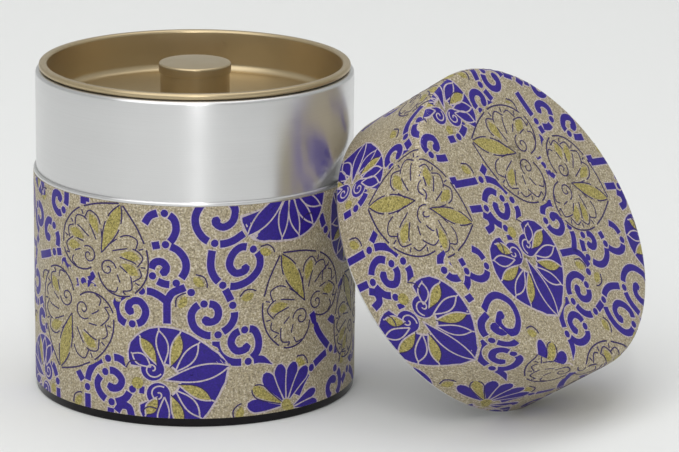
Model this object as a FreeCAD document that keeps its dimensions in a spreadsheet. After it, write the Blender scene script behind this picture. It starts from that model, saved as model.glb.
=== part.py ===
"""A paper-covered caddy for tea or spice, with a loose inner lid and a pull-off outer lid.

The frame has its origin at the middle of the tin's foot, +Z up, and the front faces -Y.
The outer lid is off and leans on the tin's right side (+X), with its open side to the tin.
All sizes are in millimetres and degrees.
"""
import FreeCAD, Part
import math
import os

import Sketcher

# Driving sizes: name, value and what it sets.
SIZES = {
    # the tin
    "body_radius": (39.0, "outside of the paper on the body"),
    "body_height": (54.5, "floor to the top of the body's hem"),
    "neck_height": (78.3, "floor to the top of the bright neck"),
    "plate_thickness": (0.35, "tinplate"),
    "paper_thickness": (0.25, "covering paper with its glue"),
    "tube_gap": (0.1, "between the outer tube and the neck tube"),
    "hem_height": (0.9, "bright hem left above the paper"),
    "hem_stand": (0.2, "how far the hem stands out past its tube"),
    "hem_round": (0.5, "outer edge of the hem"),
    "paper_seam": (0.2, "open line between the paper's two ends"),
    "neck_round": (0.9, "top outer edge of the neck"),
    "mouth_flange": (2.25, "how far the neck turns in at its top"),
    "mouth_lip": (1.2, "how far the turned-in edge goes down"),
    "mouth_round": (0.6, "edge of the mouth"),
    "foot_height": (2.1, "height of the seam ring at the foot"),
    "foot_width": (1.2, "radial width of the seam ring"),
    "foot_inset": (0.2, "how far the seam ring lies inside the paper"),
    "foot_round": (0.4, "lower edges of the seam ring"),
    "panel_recess": (1.5, "floor to the underside of the end panel's rim"),
    "panel_step": (0.6, "how much higher the middle of the panel lies"),
    "panel_margin": (4.6, "width of the low band round the panel"),
    # the inner lid
    "pan_gap": (0.25, "between the pan's wall and the mouth"),
    "pan_depth": (10.15, "top of the rolled rim down to the pan's floor"),
    "pan_round": (2.0, "inside corner of the pan"),
    "rim_width": (2.0, "radial width of the rolled rim"),
    "rim_round": (0.7, "outer rounding of the rolled rim, above and below"),
    "rim_flat": (0.1, "height of the straight band between the two roundings"),
    "rest_gap": (0.15, "left between the rolled rim and the neck"),
    # the knob
    "knob_radius": (8.7, "outside of the knob's cap"),
    "knob_height": (9.8, "pan floor to the edge of the cap's top"),
    "cap_skirt": (2.3, "height of the cap's side"),
    "cap_dome": (0.25, "rise of the cap's top"),
    "cap_round": (0.5, "edge of the cap's top"),
    "cup_round": (0.6, "foot of the knob's cup"),
    "rivet_radius": (1.5, "rivet shank"),
    "rivet_head_radius": (3.0, "both heads of the rivet"),
    "rivet_head_height": (0.7, "both heads of the rivet"),
    "rivet_round": (0.4, "edge of both heads"),
    # the outer lid
    "slip_gap": (0.15, "between the lid's inside and the neck"),
    "lid_height": (28.8, "rim to the middle of the top"),
    "lid_dome": (0.9, "rise of the top"),
    "shoulder_round": (2.0, "shoulder, over the paper"),
    "paper_stop": (0.5, "bare plate below the lid's paper"),
    "lean_gap": (0.3, "left between the leaning lid and the tin"),
    "lean_tilt": (56.9, "lid's axis from the vertical"),
    "lean_heading": (-35.3, "where the lid's top points, from +X"),
    "lean_bearing": (-7.0, "where the lid's rim centre lies, from +X"),
}

# Radii and heights that several pieces share, as sums of the sizes above.
SHELL_OUT = "body_radius - paper_thickness"
SHELL_IN = SHELL_OUT + " - plate_thickness"
NECK_OUT = SHELL_IN + " - tube_gap"
NECK_IN = NECK_OUT + " - plate_thickness"
MOUTH = NECK_OUT + " - mouth_flange"
PAN_OUT = MOUTH + " - pan_gap"
PAN_IN = PAN_OUT + " - plate_thickness"
RIM_OUT = PAN_IN + " + rim_width"
RIM_LOW = "neck_height + rest_gap"
RIM_TOP = RIM_LOW + " + rim_round + rim_flat + rim_round"
PAN_FLOOR = RIM_TOP + " - pan_depth"
KNOB_TOP = PAN_FLOOR + " + knob_height"
CUP_OUT = "knob_radius - plate_thickness"
LID_IN = NECK_OUT + " + slip_gap"
LID_OUT = LID_IN + " + plate_thickness"
LID_PAPER = LID_OUT + " + paper_thickness"
PAPER_TOP = "body_height - hem_height"
AXIS = "0"
SAME_PLACE = 1e-4  # two rings nearer than this are one

doc = FreeCAD.newDocument("caddy")


def make_sheet():
    """Write every driving size into the spreadsheet, one row each, with its alias."""
    sheet = doc.addObject("Spreadsheet::Sheet", "Sizes")
    for row, (alias, (value, meaning)) in enumerate(SIZES.items(), start=1):
        sheet.set("A%d" % row, str(value))
        sheet.setAlias("A%d" % row, alias)
        sheet.set("B%d" % row, meaning)
    doc.recompute()


def amount(formula):
    """Work out a sum such as 'body_radius - paper_thickness' in numbers."""
    total, sign = 0.0, 1
    for word in formula.split():
        if word in ("+", "-"):
            sign = 1 if word == "+" else -1
        elif word != AXIS:
            total += sign * SIZES[word][0]
    return total


def expression(formula):
    """The same sum as an expression on the spreadsheet's cells."""
    words = formula.split()
    return " ".join(word if word in ("+", "-") else "Sizes." + word for word in words)


def origin_plane(body, role):
    """One of the body's own origin planes."""
    return next(plane for plane in body.Origin.OriginFeatures if plane.Role == role)


def new_sketch(body, role):
    """An empty sketch on one of the body's origin planes."""
    sketch = body.newObject("Sketcher::SketchObject", body.Label + "_sketch")
    sketch.AttachmentSupport = [(origin_plane(body, role), "")]
    sketch.MapMode = "FlatFace"
    return sketch


def bind_point(sketch, geometry, end, along, up):
    """Hold one end of a sketch line at a place given by two sums of sizes."""
    if along == AXIS:
        sketch.addConstraint(Sketcher.Constraint("PointOnObject", geometry, end, -2))
    else:
        index = sketch.addConstraint(
            Sketcher.Constraint("DistanceX", -1, 1, geometry, end, amount(along)))
        sketch.setExpression("Constraints[%d]" % index, expression(along))
    if up == AXIS:
        sketch.addConstraint(Sketcher.Constraint("PointOnObject", geometry, end, -1))
    else:
        index = sketch.addConstraint(
            Sketcher.Constraint("DistanceY", -1, 1, geometry, end, amount(up)))
        sketch.setExpression("Constraints[%d]" % index, expression(up))


def dome_arc(edge_radius, edge_height, top_height):
    """An arc from a dome's edge to its top on the axis, level at the top."""
    rise = top_height - edge_height
    radius = (edge_radius ** 2 + rise ** 2) / (2 * rise)
    centre = FreeCAD.Vector(0, top_height - radius, 0)
    start = math.atan2(edge_height - centre.y, edge_radius)
    circle = Part.Circle(centre, FreeCAD.Vector(0, 0, 1), radius)
    return Part.ArcOfCircle(circle, start, math.pi / 2)


def turned(label, corners, domed=()):
    """A body turned about Z from an outline of corners, each a radius and a height.

    domed lists the corners whose next side is a dome's arc. That side joins the axis
    to the dome's edge, either way round.
    """
    body = doc.addObject("PartDesign::Body", label)
    sketch = new_sketch(body, "XZ_Plane")
    ends = []
    for number, (radius, height) in enumerate(corners):
        next_radius, next_height = corners[(number + 1) % len(corners)]
        if number in domed and radius == AXIS:
            arc = dome_arc(amount(next_radius), amount(next_height), amount(height))
            ends.append((sketch.addGeometry(arc), 2, 1))
        elif number in domed:
            arc = dome_arc(amount(radius), amount(height), amount(next_height))
            ends.append((sketch.addGeometry(arc), 1, 2))
        else:
            start = FreeCAD.Vector(amount(radius), amount(height), 0)
            end = FreeCAD.Vector(amount(next_radius), amount(next_height), 0)
            ends.append((sketch.addGeometry(Part.LineSegment(start, end)), 1, 2))
    for number, (radius, height) in enumerate(corners):
        geometry, first, last = ends[number]
        following = ends[(number + 1) % len(ends)]
        sketch.addConstraint(
            Sketcher.Constraint("Coincident", geometry, last, following[0], following[1]))
        if number in domed:
            sketch.addConstraint(Sketcher.Constraint("PointOnObject", geometry, 3, -2))
    for number, (radius, height) in enumerate(corners):
        bind_point(sketch, ends[number][0], ends[number][1], radius, height)
    turning = body.newObject("PartDesign::Revolution", label + "_turned")
    turning.Profile = sketch
    turning.ReferenceAxis = (sketch, ["V_Axis"])
    turning.Angle = 360
    sketch.Visibility = False
    doc.recompute()
    return body


def round_rings(body, radius, *rings):
    """Round the circular edges that lie at the given radii and heights."""
    names = []
    for number, edge in enumerate(body.Shape.Edges, start=1):
        if edge.Degenerated or not isinstance(edge.Curve, Part.Circle):
            continue
        for ring_radius, ring_height in rings:
            radius_miss = edge.Curve.Radius - amount(ring_radius)
            height_miss = edge.Curve.Center.z - amount(ring_height)
            if math.hypot(radius_miss, height_miss) < SAME_PLACE:
                names.append("Edge%d" % number)
    if len(names) != len(rings):
        raise ValueError("%s: %d of %d rings found" % (body.Label, len(names), len(rings)))
    base = body.Tip
    fillet = body.newObject("PartDesign::Fillet", body.Label + "_round")
    fillet.Base = (base, names)
    fillet.setExpression("Radius", expression(radius))
    doc.recompute()


def make_base_end():
    """The end plate: a seam ring to stand on and a recessed panel with a raised middle."""
    out = "body_radius - foot_inset"
    ring_in = out + " - foot_width"
    step = ring_in + " - panel_margin"
    low = "panel_recess"
    high = "panel_recess + panel_step"
    body = turned("base_end", [
        (AXIS, high), (step, high), (step, low), (ring_in, low), (ring_in, AXIS), (out, AXIS),
        (out, "foot_height"), (ring_in, "foot_height"), (ring_in, low + " + plate_thickness"),
        (step + " + plate_thickness", low + " + plate_thickness"),
        (step + " + plate_thickness", high + " + plate_thickness"),
        (AXIS, high + " + plate_thickness")])
    round_rings(body, "foot_round", (out, AXIS), (ring_in, AXIS))
    return body


def make_body_shell():
    """The outer tube, which stands on the seam ring and ends in a bright hem."""
    hem_out = SHELL_OUT + " + hem_stand"
    hem_under = PAPER_TOP + " + plate_thickness"
    body = turned("body_shell", [
        (SHELL_IN, "foot_height"), (SHELL_OUT, "foot_height"), (SHELL_OUT, PAPER_TOP),
        (hem_out, PAPER_TOP), (hem_out, "body_height"), (NECK_OUT, "body_height"),
        (NECK_OUT, hem_under), (SHELL_IN, hem_under)])
    round_rings(body, "hem_round", (hem_out, "body_height"))
    return body


def make_body_paper():
    """The paper round the outer tube, with its two ends meeting at the back."""
    body = turned("body_paper", [
        (SHELL_OUT, "foot_height"), ("body_radius", "foot_height"),
        ("body_radius", PAPER_TOP), (SHELL_OUT, PAPER_TOP)])
    whole = body.Shape.Volume
    sketch = new_sketch(body, "XZ_Plane")
    half, top = amount("paper_seam") / 2, amount("body_height")
    places = [(-half, 0.0), (half, 0.0), (half, top), (-half, top)]
    for number, place in enumerate(places):
        following = places[(number + 1) % len(places)]
        sketch.addGeometry(Part.LineSegment(FreeCAD.Vector(*place), FreeCAD.Vector(*following)))
    for number in range(len(places)):
        following = (number + 1) % len(places)
        sketch.addConstraint(Sketcher.Constraint("Coincident", number, 2, following, 1))
        direction = "Horizontal" if number % 2 == 0 else "Vertical"
        sketch.addConstraint(Sketcher.Constraint(direction, number))
    sketch.addConstraint(Sketcher.Constraint("Symmetric", 0, 1, 0, 2, -1, 1))
    width = sketch.addConstraint(Sketcher.Constraint("DistanceX", 0, 1, 0, 2, 2 * half))
    sketch.setExpression("Constraints[%d]" % width, expression("paper_seam"))
    height = sketch.addConstraint(Sketcher.Constraint("DistanceY", 1, 1, 1, 2, top))
    sketch.setExpression("Constraints[%d]" % height, expression("body_height"))
    seam = body.newObject("PartDesign::Pocket", "body_paper_seam")
    seam.Profile = sketch
    seam.Reversed = False  # from the middle towards the back, +Y
    seam.setExpression("Length", expression("body_radius + paper_thickness"))
    doc.recompute()
    cut = whole - body.Shape.Volume
    back = body.Shape.BoundBox.YMax
    if cut <= 0 or back >= amount("body_radius"):
        raise RuntimeError("the paper's seam isn't open at the back")
    return body


def make_inner_sleeve():
    """The bright neck: an inner tube that stands on the seam ring and turns in at its top."""
    lip = MOUTH + " + plate_thickness"
    under = "neck_height - plate_thickness"
    lip_end = "neck_height - mouth_lip"
    body = turned("inner_sleeve", [
        (NECK_IN, "foot_height"), (NECK_OUT, "foot_height"), (NECK_OUT, "neck_height"),
        (MOUTH, "neck_height"), (MOUTH, lip_end), (lip, lip_end), (lip, under), (NECK_IN, under)])
    round_rings(body, "neck_round", (NECK_OUT, "neck_height"))
    round_rings(body, "neck_round - plate_thickness", (NECK_IN, under))
    round_rings(body, "mouth_round", (MOUTH, "neck_height"))
    round_rings(body, "mouth_round - plate_thickness", (lip, under))
    return body


def make_inner_lid_pan():
    """The dished inner lid, with a rolled rim that sits on the neck."""
    under = PAN_FLOOR + " - plate_thickness"
    rim_in_top = RIM_TOP + " - plate_thickness"
    rim_in_low = RIM_LOW + " + plate_thickness"
    rim_in_out = RIM_OUT + " - plate_thickness"
    curl_end = PAN_OUT + " + plate_thickness"
    body = turned("inner_lid_pan", [
        ("rivet_radius", under), (PAN_OUT, under), (PAN_OUT, rim_in_top),
        (rim_in_out, rim_in_top), (rim_in_out, rim_in_low), (curl_end, rim_in_low),
        (curl_end, RIM_LOW), (RIM_OUT, RIM_LOW), (RIM_OUT, RIM_TOP), (PAN_IN, RIM_TOP),
        (PAN_IN, PAN_FLOOR), ("rivet_radius", PAN_FLOOR)])
    round_rings(body, "pan_round", (PAN_IN, PAN_FLOOR))
    round_rings(body, "pan_round + plate_thickness", (PAN_OUT, under))
    round_rings(body, "rim_round", (RIM_OUT, RIM_LOW), (RIM_OUT, RIM_TOP), (PAN_IN, RIM_TOP))
    round_rings(body, "rim_round - plate_thickness",
                (rim_in_out, rim_in_low), (rim_in_out, rim_in_top), (PAN_OUT, rim_in_top))
    return body


def make_knob_cup():
    """The lower half of the knob, an open cup that stands on the pan."""
    wall_in = CUP_OUT + " - plate_thickness"
    floor_top = PAN_FLOOR + " + plate_thickness"
    top = KNOB_TOP + " - plate_thickness"
    body = turned("knob_cup", [
        ("rivet_radius", PAN_FLOOR), (CUP_OUT, PAN_FLOOR), (CUP_OUT, top),
        (wall_in, top), (wall_in, floor_top), ("rivet_radius", floor_top)])
    round_rings(body, "cup_round", (CUP_OUT, PAN_FLOOR))
    return body


def make_knob_cap():
    """The cap that is pressed over the cup."""
    skirt_end = KNOB_TOP + " - cap_skirt"
    under = KNOB_TOP + " - plate_thickness"
    body = turned("knob_cap", [
        (CUP_OUT, skirt_end), ("knob_radius", skirt_end), ("knob_radius", KNOB_TOP),
        (AXIS, KNOB_TOP + " + cap_dome"), (AXIS, under + " + cap_dome"), (CUP_OUT, under)],
        domed=(2, 4))
    round_rings(body, "cap_round", ("knob_radius", KNOB_TOP))
    return body


def make_knob_rivet():
    """The rivet through the pan's floor and the cup's floor, with a head on each side."""
    under = PAN_FLOOR + " - plate_thickness"
    over = PAN_FLOOR + " + plate_thickness"
    low_end = under + " - rivet_head_height"
    high_end = over + " + rivet_head_height"
    body = turned("knob_rivet", [
        (AXIS, low_end), ("rivet_head_radius", low_end), ("rivet_head_radius", under),
        ("rivet_radius", under), ("rivet_radius", over), ("rivet_head_radius", over),
        ("rivet_head_radius", high_end), (AXIS, high_end)])
    round_rings(body, "rivet_round", ("rivet_head_radius", low_end), ("rivet_head_radius", high_end))
    return body


def make_lid_shell():
    """The outer lid's plate, upright here with its open rim at zero."""
    out_edge = "lid_height - paper_thickness - lid_dome"
    in_edge = out_edge + " - plate_thickness"
    body = turned("lid_shell", [
        (LID_IN, AXIS), (LID_OUT, AXIS), (LID_OUT, out_edge), (AXIS, out_edge + " + lid_dome"),
        (AXIS, in_edge + " + lid_dome"), (LID_IN, in_edge)], domed=(2, 4))
    round_rings(body, "shoulder_round - paper_thickness", (LID_OUT, out_edge))
    round_rings(body, "shoulder_round - paper_thickness - plate_thickness", (LID_IN, in_edge))
    return body


def make_lid_paper():
    """The paper over the lid's top, shoulder and skirt, upright like the plate under it."""
    out_edge = "lid_height - lid_dome"
    in_edge = out_edge + " - paper_thickness"
    body = turned("lid_paper", [
        (LID_OUT, "paper_stop"), (LID_PAPER, "paper_stop"), (LID_PAPER, out_edge),
        (AXIS, out_edge + " + lid_dome"), (AXIS, in_edge + " + lid_dome"), (LID_OUT, in_edge)],
        domed=(2, 4))
    round_rings(body, "shoulder_round", (LID_PAPER, out_edge))
    round_rings(body, "shoulder_round - paper_thickness", (LID_OUT, in_edge))
    return body


def lean_placement():
    """Where the outer lid leans: one point of its rim on the floor, one just off the tin."""
    tilt, heading, bearing = (
        math.radians(SIZES[name][0]) for name in ("lean_tilt", "lean_heading", "lean_bearing"))
    up_axis = FreeCAD.Vector(
        math.sin(tilt) * math.cos(heading), math.sin(tilt) * math.sin(heading), math.cos(tilt))
    level = FreeCAD.Vector(-math.sin(heading), math.cos(heading), 0)
    down = level.cross(up_axis)
    toward = FreeCAD.Vector(math.cos(bearing), math.sin(bearing), 0)
    rims = [(amount(LID_OUT), 0.0), (amount(LID_PAPER), amount("paper_stop"))]
    centre_height = max(radius * math.sin(tilt) - stop * math.cos(tilt) for radius, stop in rims)
    distance = 0.0
    for radius, stop in rims:
        for degrees in range(360):
            angle = math.radians(degrees)
            spoke = (down * math.cos(angle) + level * math.sin(angle)) * radius + up_axis * stop
            height = centre_height + spoke.z
            wall = amount("body_radius") if height < amount("body_height") else amount(NECK_OUT)
            clear = wall + amount("lean_gap")
            along = toward.x * spoke.x + toward.y * spoke.y
            square = along ** 2 - spoke.x ** 2 - spoke.y ** 2 + clear ** 2
            if square > 0 and height < amount("neck_height"):
                distance = max(distance, math.sqrt(square) - along)
    centre = toward * distance + FreeCAD.Vector(0, 0, centre_height)
    return FreeCAD.Placement(centre, FreeCAD.Rotation(FreeCAD.Vector(0, 0, 1), up_axis))


def check_document(bodies):
    """Stop if any object failed or any piece isn't one valid solid."""
    for item in doc.Objects:
        if "Invalid" in item.State or "Error" in item.State:
            raise RuntimeError("%s is %s" % (item.Label, item.State))
    for body in bodies:
        shape = body.Shape
        if shape.isNull() or not shape.isValid() or len(shape.Solids) != 1:
            raise RuntimeError("%s has no single valid solid" % body.Label)


make_sheet()
tin = [make_base_end(), make_body_shell(), make_body_paper(), make_inner_sleeve()]
inner_lid = [make_inner_lid_pan(), make_knob_cup(), make_knob_cap(), make_knob_rivet()]
outer_lid = [make_lid_shell(), make_lid_paper()]
leaning = lean_placement()
for piece in outer_lid:
    piece.Placement = leaning
doc.recompute()
check_document(tin + inner_lid + outer_lid)

print("outer lid's rim centre", leaning.Base, "axis", leaning.Rotation.multVec(FreeCAD.Vector(0, 0, 1)))
os.makedirs("parts", exist_ok=True)
for piece in tin + inner_lid + outer_lid:
    piece.Shape.exportStep("parts/%s.step" % piece.Label)
    print(piece.Label, "volume %.1f" % piece.Shape.Volume)
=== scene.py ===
"""A paper-covered caddy for tea or spice: the visual model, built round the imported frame.

The tin stands at the origin with its front to -Y. The outer lid leans on its right side. Every
round piece is an outline turned about its axis. The print is drawn flat, in millimetres, as
strokes along lines, and then wrapped on the paper.
"""

import math

import bmesh
import bpy
from bpy.props import FloatProperty, FloatVectorProperty, IntProperty, PointerProperty
from mathutils import Matrix, Vector


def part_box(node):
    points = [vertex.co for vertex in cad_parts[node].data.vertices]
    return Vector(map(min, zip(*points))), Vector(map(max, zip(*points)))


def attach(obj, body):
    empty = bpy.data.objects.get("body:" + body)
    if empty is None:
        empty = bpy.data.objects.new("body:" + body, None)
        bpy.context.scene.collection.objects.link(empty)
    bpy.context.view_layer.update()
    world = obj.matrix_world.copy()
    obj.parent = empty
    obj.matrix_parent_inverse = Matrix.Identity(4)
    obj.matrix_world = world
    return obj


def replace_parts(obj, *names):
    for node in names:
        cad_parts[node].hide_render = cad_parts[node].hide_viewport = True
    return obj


bl_info = {
    "name": "Paper-covered caddy",
    "version": (1, 0, 0),
    "blender": (4, 5, 0),
    "location": "3D View > Sidebar > Caddy",
    "description": "Builds a paper-covered tin with its inner lid and its leaning outer lid",
    "category": "Object",
}

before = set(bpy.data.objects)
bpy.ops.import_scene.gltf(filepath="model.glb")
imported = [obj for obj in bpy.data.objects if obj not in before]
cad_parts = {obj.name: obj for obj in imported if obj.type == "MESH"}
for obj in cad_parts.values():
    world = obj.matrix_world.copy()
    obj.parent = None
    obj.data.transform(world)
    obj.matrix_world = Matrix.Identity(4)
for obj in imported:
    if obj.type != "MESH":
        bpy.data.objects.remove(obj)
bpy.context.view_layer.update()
MM = 0.001
NEAR = 1e-7  # points closer than this are one, m
LARGEST = 0.2  # no length setting goes over this, m
CORNER_STEPS = 8  # strips in a rounded corner
DOME_STEPS = 16  # strips from a dome's middle to its edge
GRAIN = 2300.0  # grains to a metre in the paper and its inks
STOREY = 10.0  # flat height between two levels of the print, mm
REPEAT = 55.5  # height of one repeat of the print, mm
SIDE_SHIFT = -43.6  # how far round the lid's print lies from the body's, mm
TOP_HUB = (-6.9, 11.6)  # the flower on the sheet that sets the top's print, mm
TOP_PLACE = (-12.4, -7.4)  # where that flower lies on the lid's top, mm
TOP_TURN = math.radians(-96.0)  # how the sheet is turned on the lid's top

RING_INSET = 0.2 * MM  # how far the seam ring stands in from the body's paper
RING_WALL = 1.2 * MM
BASE_STEP = 4.6 * MM  # from the seam ring in to the raised middle of the base
BASE_LOW = 1.5 * MM  # underside of the base next to its ring
BASE_HIGH = 2.1 * MM  # underside of the raised middle
HEM_STEP = 0.2 * MM  # how far the bright hem stands out over the tube
MOUTH_FLANGE = 2.25 * MM  # how far the neck's mouth turns in
MOUTH_LIP = 1.2 * MM  # how far its edge turns down again
RIM_WIDTH = 2.0 * MM
RIM_DROP = 1.5 * MM  # how far the inner lid's rolled rim reaches down
RIVET_HOLE = 1.5 * MM
KNOB_DOME = 0.25 * MM
CAP_SKIRT = 2.3 * MM  # how far the knob's cap reaches down over its cup
KNOB_SWELL = 0.34  # how much fuller a band is in its inner curl
KNOB_REACH = 2.2  # how far from its end a band starts to fill out, mm
KNOB_TIP = 1.1  # length of a band's round end, mm
POINT_REACH = 3.0  # length of a band's pointed end, mm
HEART_STEPS = 34  # strips in a filled heart
PETAL_LEAN = 8  # how far a petal leans towards the hub, degrees
LEAF_PETALS = 5  # petals on each side of a leaf
LEAF_FIRST = 19  # where a leaf's first side petal starts, degrees from its tip
LEAF_SPREAD = 108  # what a leaf's side petals take up, degrees
FLOWER_FIRST = 27  # where a flower's first side petal lies, degrees from its tip
LID_FACETS = 72  # cuts round the rim of the lid's top print
DIVISIONS = 3  # most times that a long face is divided

CAMERA_PLACE = (0.035066, -0.89109, 0.27274)
CAMERA_DOWN = 14.689  # how far the camera looks down, degrees
CAMERA_ROLL = 0.524  # how far it leans to its right, degrees
WORLD_STRENGTH = 0.62

# The print's layers from the lowest: name, ink and flat strips across a stroke.
LAYERS = (
    ("scroll_edges", "pale", 4),
    ("scrolls", "blue", 4),
    ("flecks", "mustard", 4),
    ("grounds", "ground", 20),
    ("flower_edges", "pale", 12),
    ("flowers", "blue", 12),
    ("petals", "mustard", 4),
    ("flower_lines", "pale", 1),
    ("leaf_lines", "dark", 1),
)


def shade(red, green, blue):
    """A screen colour, each part from 0 to 255, as the linear numbers that shaders take."""
    parts = [part / 255.0 for part in (red, green, blue)]
    return tuple(p / 12.92 if p <= 0.04045 else ((p + 0.055) / 1.055) ** 2.4 for p in parts)


# ------------------------------------------------------------------ settings


def length_setting(name, description, default):
    """A length in metres that a user may change."""
    return FloatProperty(name=name, description=description, default=default, min=0.0,
                         max=LARGEST, precision=5, subtype="DISTANCE", unit="LENGTH")


def colour_setting(name, description, red, green, blue):
    """A colour that a user may change."""
    return FloatVectorProperty(name=name, description=description, size=3, min=0.0, max=1.0,
                               default=shade(red, green, blue), subtype="COLOR")


class CaddySizes(bpy.types.PropertyGroup):
    """Sizes of the tin and its two lids."""

    body_radius: length_setting(
        "Body radius", "Outside of the paper on the body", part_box("body_paper")[1].x)
    foot_height: length_setting(
        "Foot height", "Height of the seam ring at the foot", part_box("body_paper")[0].z)
    paper_top: length_setting(
        "Paper top", "Floor to the paper's upper edge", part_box("body_paper")[1].z)
    body_height: length_setting(
        "Body height", "Floor to the top of the bright hem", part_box("body_shell")[1].z)
    neck_height: length_setting(
        "Neck height", "Floor to the top of the bright neck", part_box("inner_sleeve")[1].z)
    neck_radius: length_setting(
        "Neck radius", "Outside of the bright neck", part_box("inner_sleeve")[1].x)
    rim_radius: length_setting(
        "Rim radius", "Outside of the inner lid's rolled rim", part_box("inner_lid_pan")[1].x)
    rim_top: length_setting(
        "Rim top", "Floor to the top of the rolled rim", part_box("inner_lid_pan")[1].z)
    knob_radius: length_setting(
        "Knob radius", "Outside of the knob's cap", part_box("knob_cap")[1].x)
    knob_top: length_setting(
        "Knob top", "Floor to the middle of the knob's cap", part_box("knob_cap")[1].z)
    pan_floor: length_setting(
        "Pan floor", "Floor to the pan's own floor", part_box("knob_cup")[0].z)
    plate: length_setting("Plate", "Thickness of the tinplate", 0.35 * MM)
    paper: length_setting("Paper", "Thickness of the covering paper", 0.25 * MM)
    seam: length_setting("Seam", "Open line between the paper's two ends", 0.2 * MM)
    lid_height: length_setting("Lid height", "Rim to the middle of the outer lid's top", 28.8 * MM)
    lid_dome: length_setting("Lid dome", "Rise of the outer lid's top", 0.9 * MM)
    shoulder: length_setting("Shoulder", "Rounding of the outer lid's shoulder", 2.0 * MM)
    paper_stop: length_setting("Paper stop", "Bare plate below the lid's paper", 0.5 * MM)
    lean_tilt: FloatProperty(
        name="Lean tilt", description="The leaning lid's axis from the vertical",
        default=math.radians(56.9), subtype="ANGLE", unit="ROTATION")
    lean_heading: FloatProperty(
        name="Lean heading", description="Where the leaning lid's top points, from +X",
        default=math.radians(-35.3), subtype="ANGLE", unit="ROTATION")
    facets: IntProperty(
        name="Facets", description="Flat strips round each turned piece", default=256,
        min=32, max=512)


class CaddyPrint(bpy.types.PropertyGroup):
    """Sizes of the printed pattern."""

    band: length_setting("Band", "Half the width of a scroll's band", 0.9 * MM)
    bead: length_setting("Bead", "Radius of the beads on the scrolls", 0.9 * MM)
    margin: length_setting("Margin", "Pale line round each blue shape", 0.26 * MM)
    line: length_setting("Line", "Half the width of a thin dark line", 0.16 * MM)
    lift: length_setting("Lift", "How far one layer stands over the next", 0.008 * MM)
    level_lift: length_setting("Level lift", "Difference between strokes of one layer", 0.001 * MM)
    depth: length_setting("Depth", "How far a stroke reaches into the paper", 0.03 * MM)


class CaddyColours(bpy.types.PropertyGroup):
    """Colours of the papers, inks and metals."""

    paper: colour_setting("Paper", "Ground of the covering paper", 164, 153, 128)
    paper_dark: colour_setting("Paper, dark grain", "Dark grains in the paper", 84, 75, 58)
    paper_light: colour_setting("Paper, light grain", "Light grains in the paper", 226, 217, 196)
    mustard: colour_setting("Mustard", "Yellow ink on petals", 156, 145, 78)
    blue: colour_setting("Blue", "Blue ink of scrolls and flowers", 38, 14, 126)
    pale: colour_setting("Pale", "Line round the blue shapes", 184, 172, 176)
    dark: colour_setting("Dark", "Thin lines of the leaves", 42, 24, 84)
    tin: colour_setting("Tin", "Bright tinplate", 222, 222, 222)
    gold: colour_setting("Gold", "Lacquer of the inner lid", 186, 169, 136)
    black: colour_setting("Black", "Lacquer of the foot", 6, 3, 6)
    stage: colour_setting("Stage", "Floor and backdrop", 231, 232, 231)


# ------------------------------------------------------------------ node trees


def node(tree, kind, sockets=None, **settings):
    """Add a node, set it, and join or fill its inputs, given by name or number."""
    made = tree.nodes.new(kind)
    for name, value in settings.items():
        setattr(made, name, value)
    for name, value in (sockets or {}).items():
        if isinstance(value, bpy.types.NodeSocket):
            tree.links.new(value, made.inputs[name])
        else:
            made.inputs[name].default_value = value
    return made


def maths(tree, operation, first, second=0.0):
    """One sum on two numbers."""
    return node(tree, "ShaderNodeMath", {0: first, 1: second}, operation=operation).outputs[0]


def shape_tree(name, inputs):
    """A Geometry Nodes tree with one geometry in and out, and the named inputs."""
    tree = bpy.data.node_groups.new(name, "GeometryNodeTree")
    tree.interface.new_socket(name="Geometry", in_out="INPUT", socket_type="NodeSocketGeometry")
    for label, kind in inputs:
        tree.interface.new_socket(name=label, in_out="INPUT", socket_type=kind)
    tree.interface.new_socket(name="Geometry", in_out="OUTPUT", socket_type="NodeSocketGeometry")
    return tree, tree.nodes.new("NodeGroupInput").outputs


def end_tree(tree, geometry, material):
    """Realize what the tree made, give it its material and send it out."""
    real = node(tree, "GeometryNodeRealizeInstances", {"Geometry": geometry})
    painted = node(tree, "GeometryNodeSetMaterial",
                   {"Geometry": real.outputs[0], "Material": material})
    node(tree, "NodeGroupOutput", {"Geometry": painted.outputs[0]})


def run_tree(worker, tree, values):
    """Run a tree on an object and return the plain mesh that it makes."""
    modifier = worker.modifiers.new(tree.name, "NODES")
    modifier.node_group = tree
    for item in tree.interface.items_tree:
        if item.in_out == "INPUT" and item.name in values:
            modifier[item.identifier] = values[item.name]
    bpy.context.view_layer.update()
    depsgraph = bpy.context.evaluated_depsgraph_get()
    mesh = bpy.data.meshes.new_from_object(worker.evaluated_get(depsgraph))
    worker.modifiers.remove(modifier)
    return mesh


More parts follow.
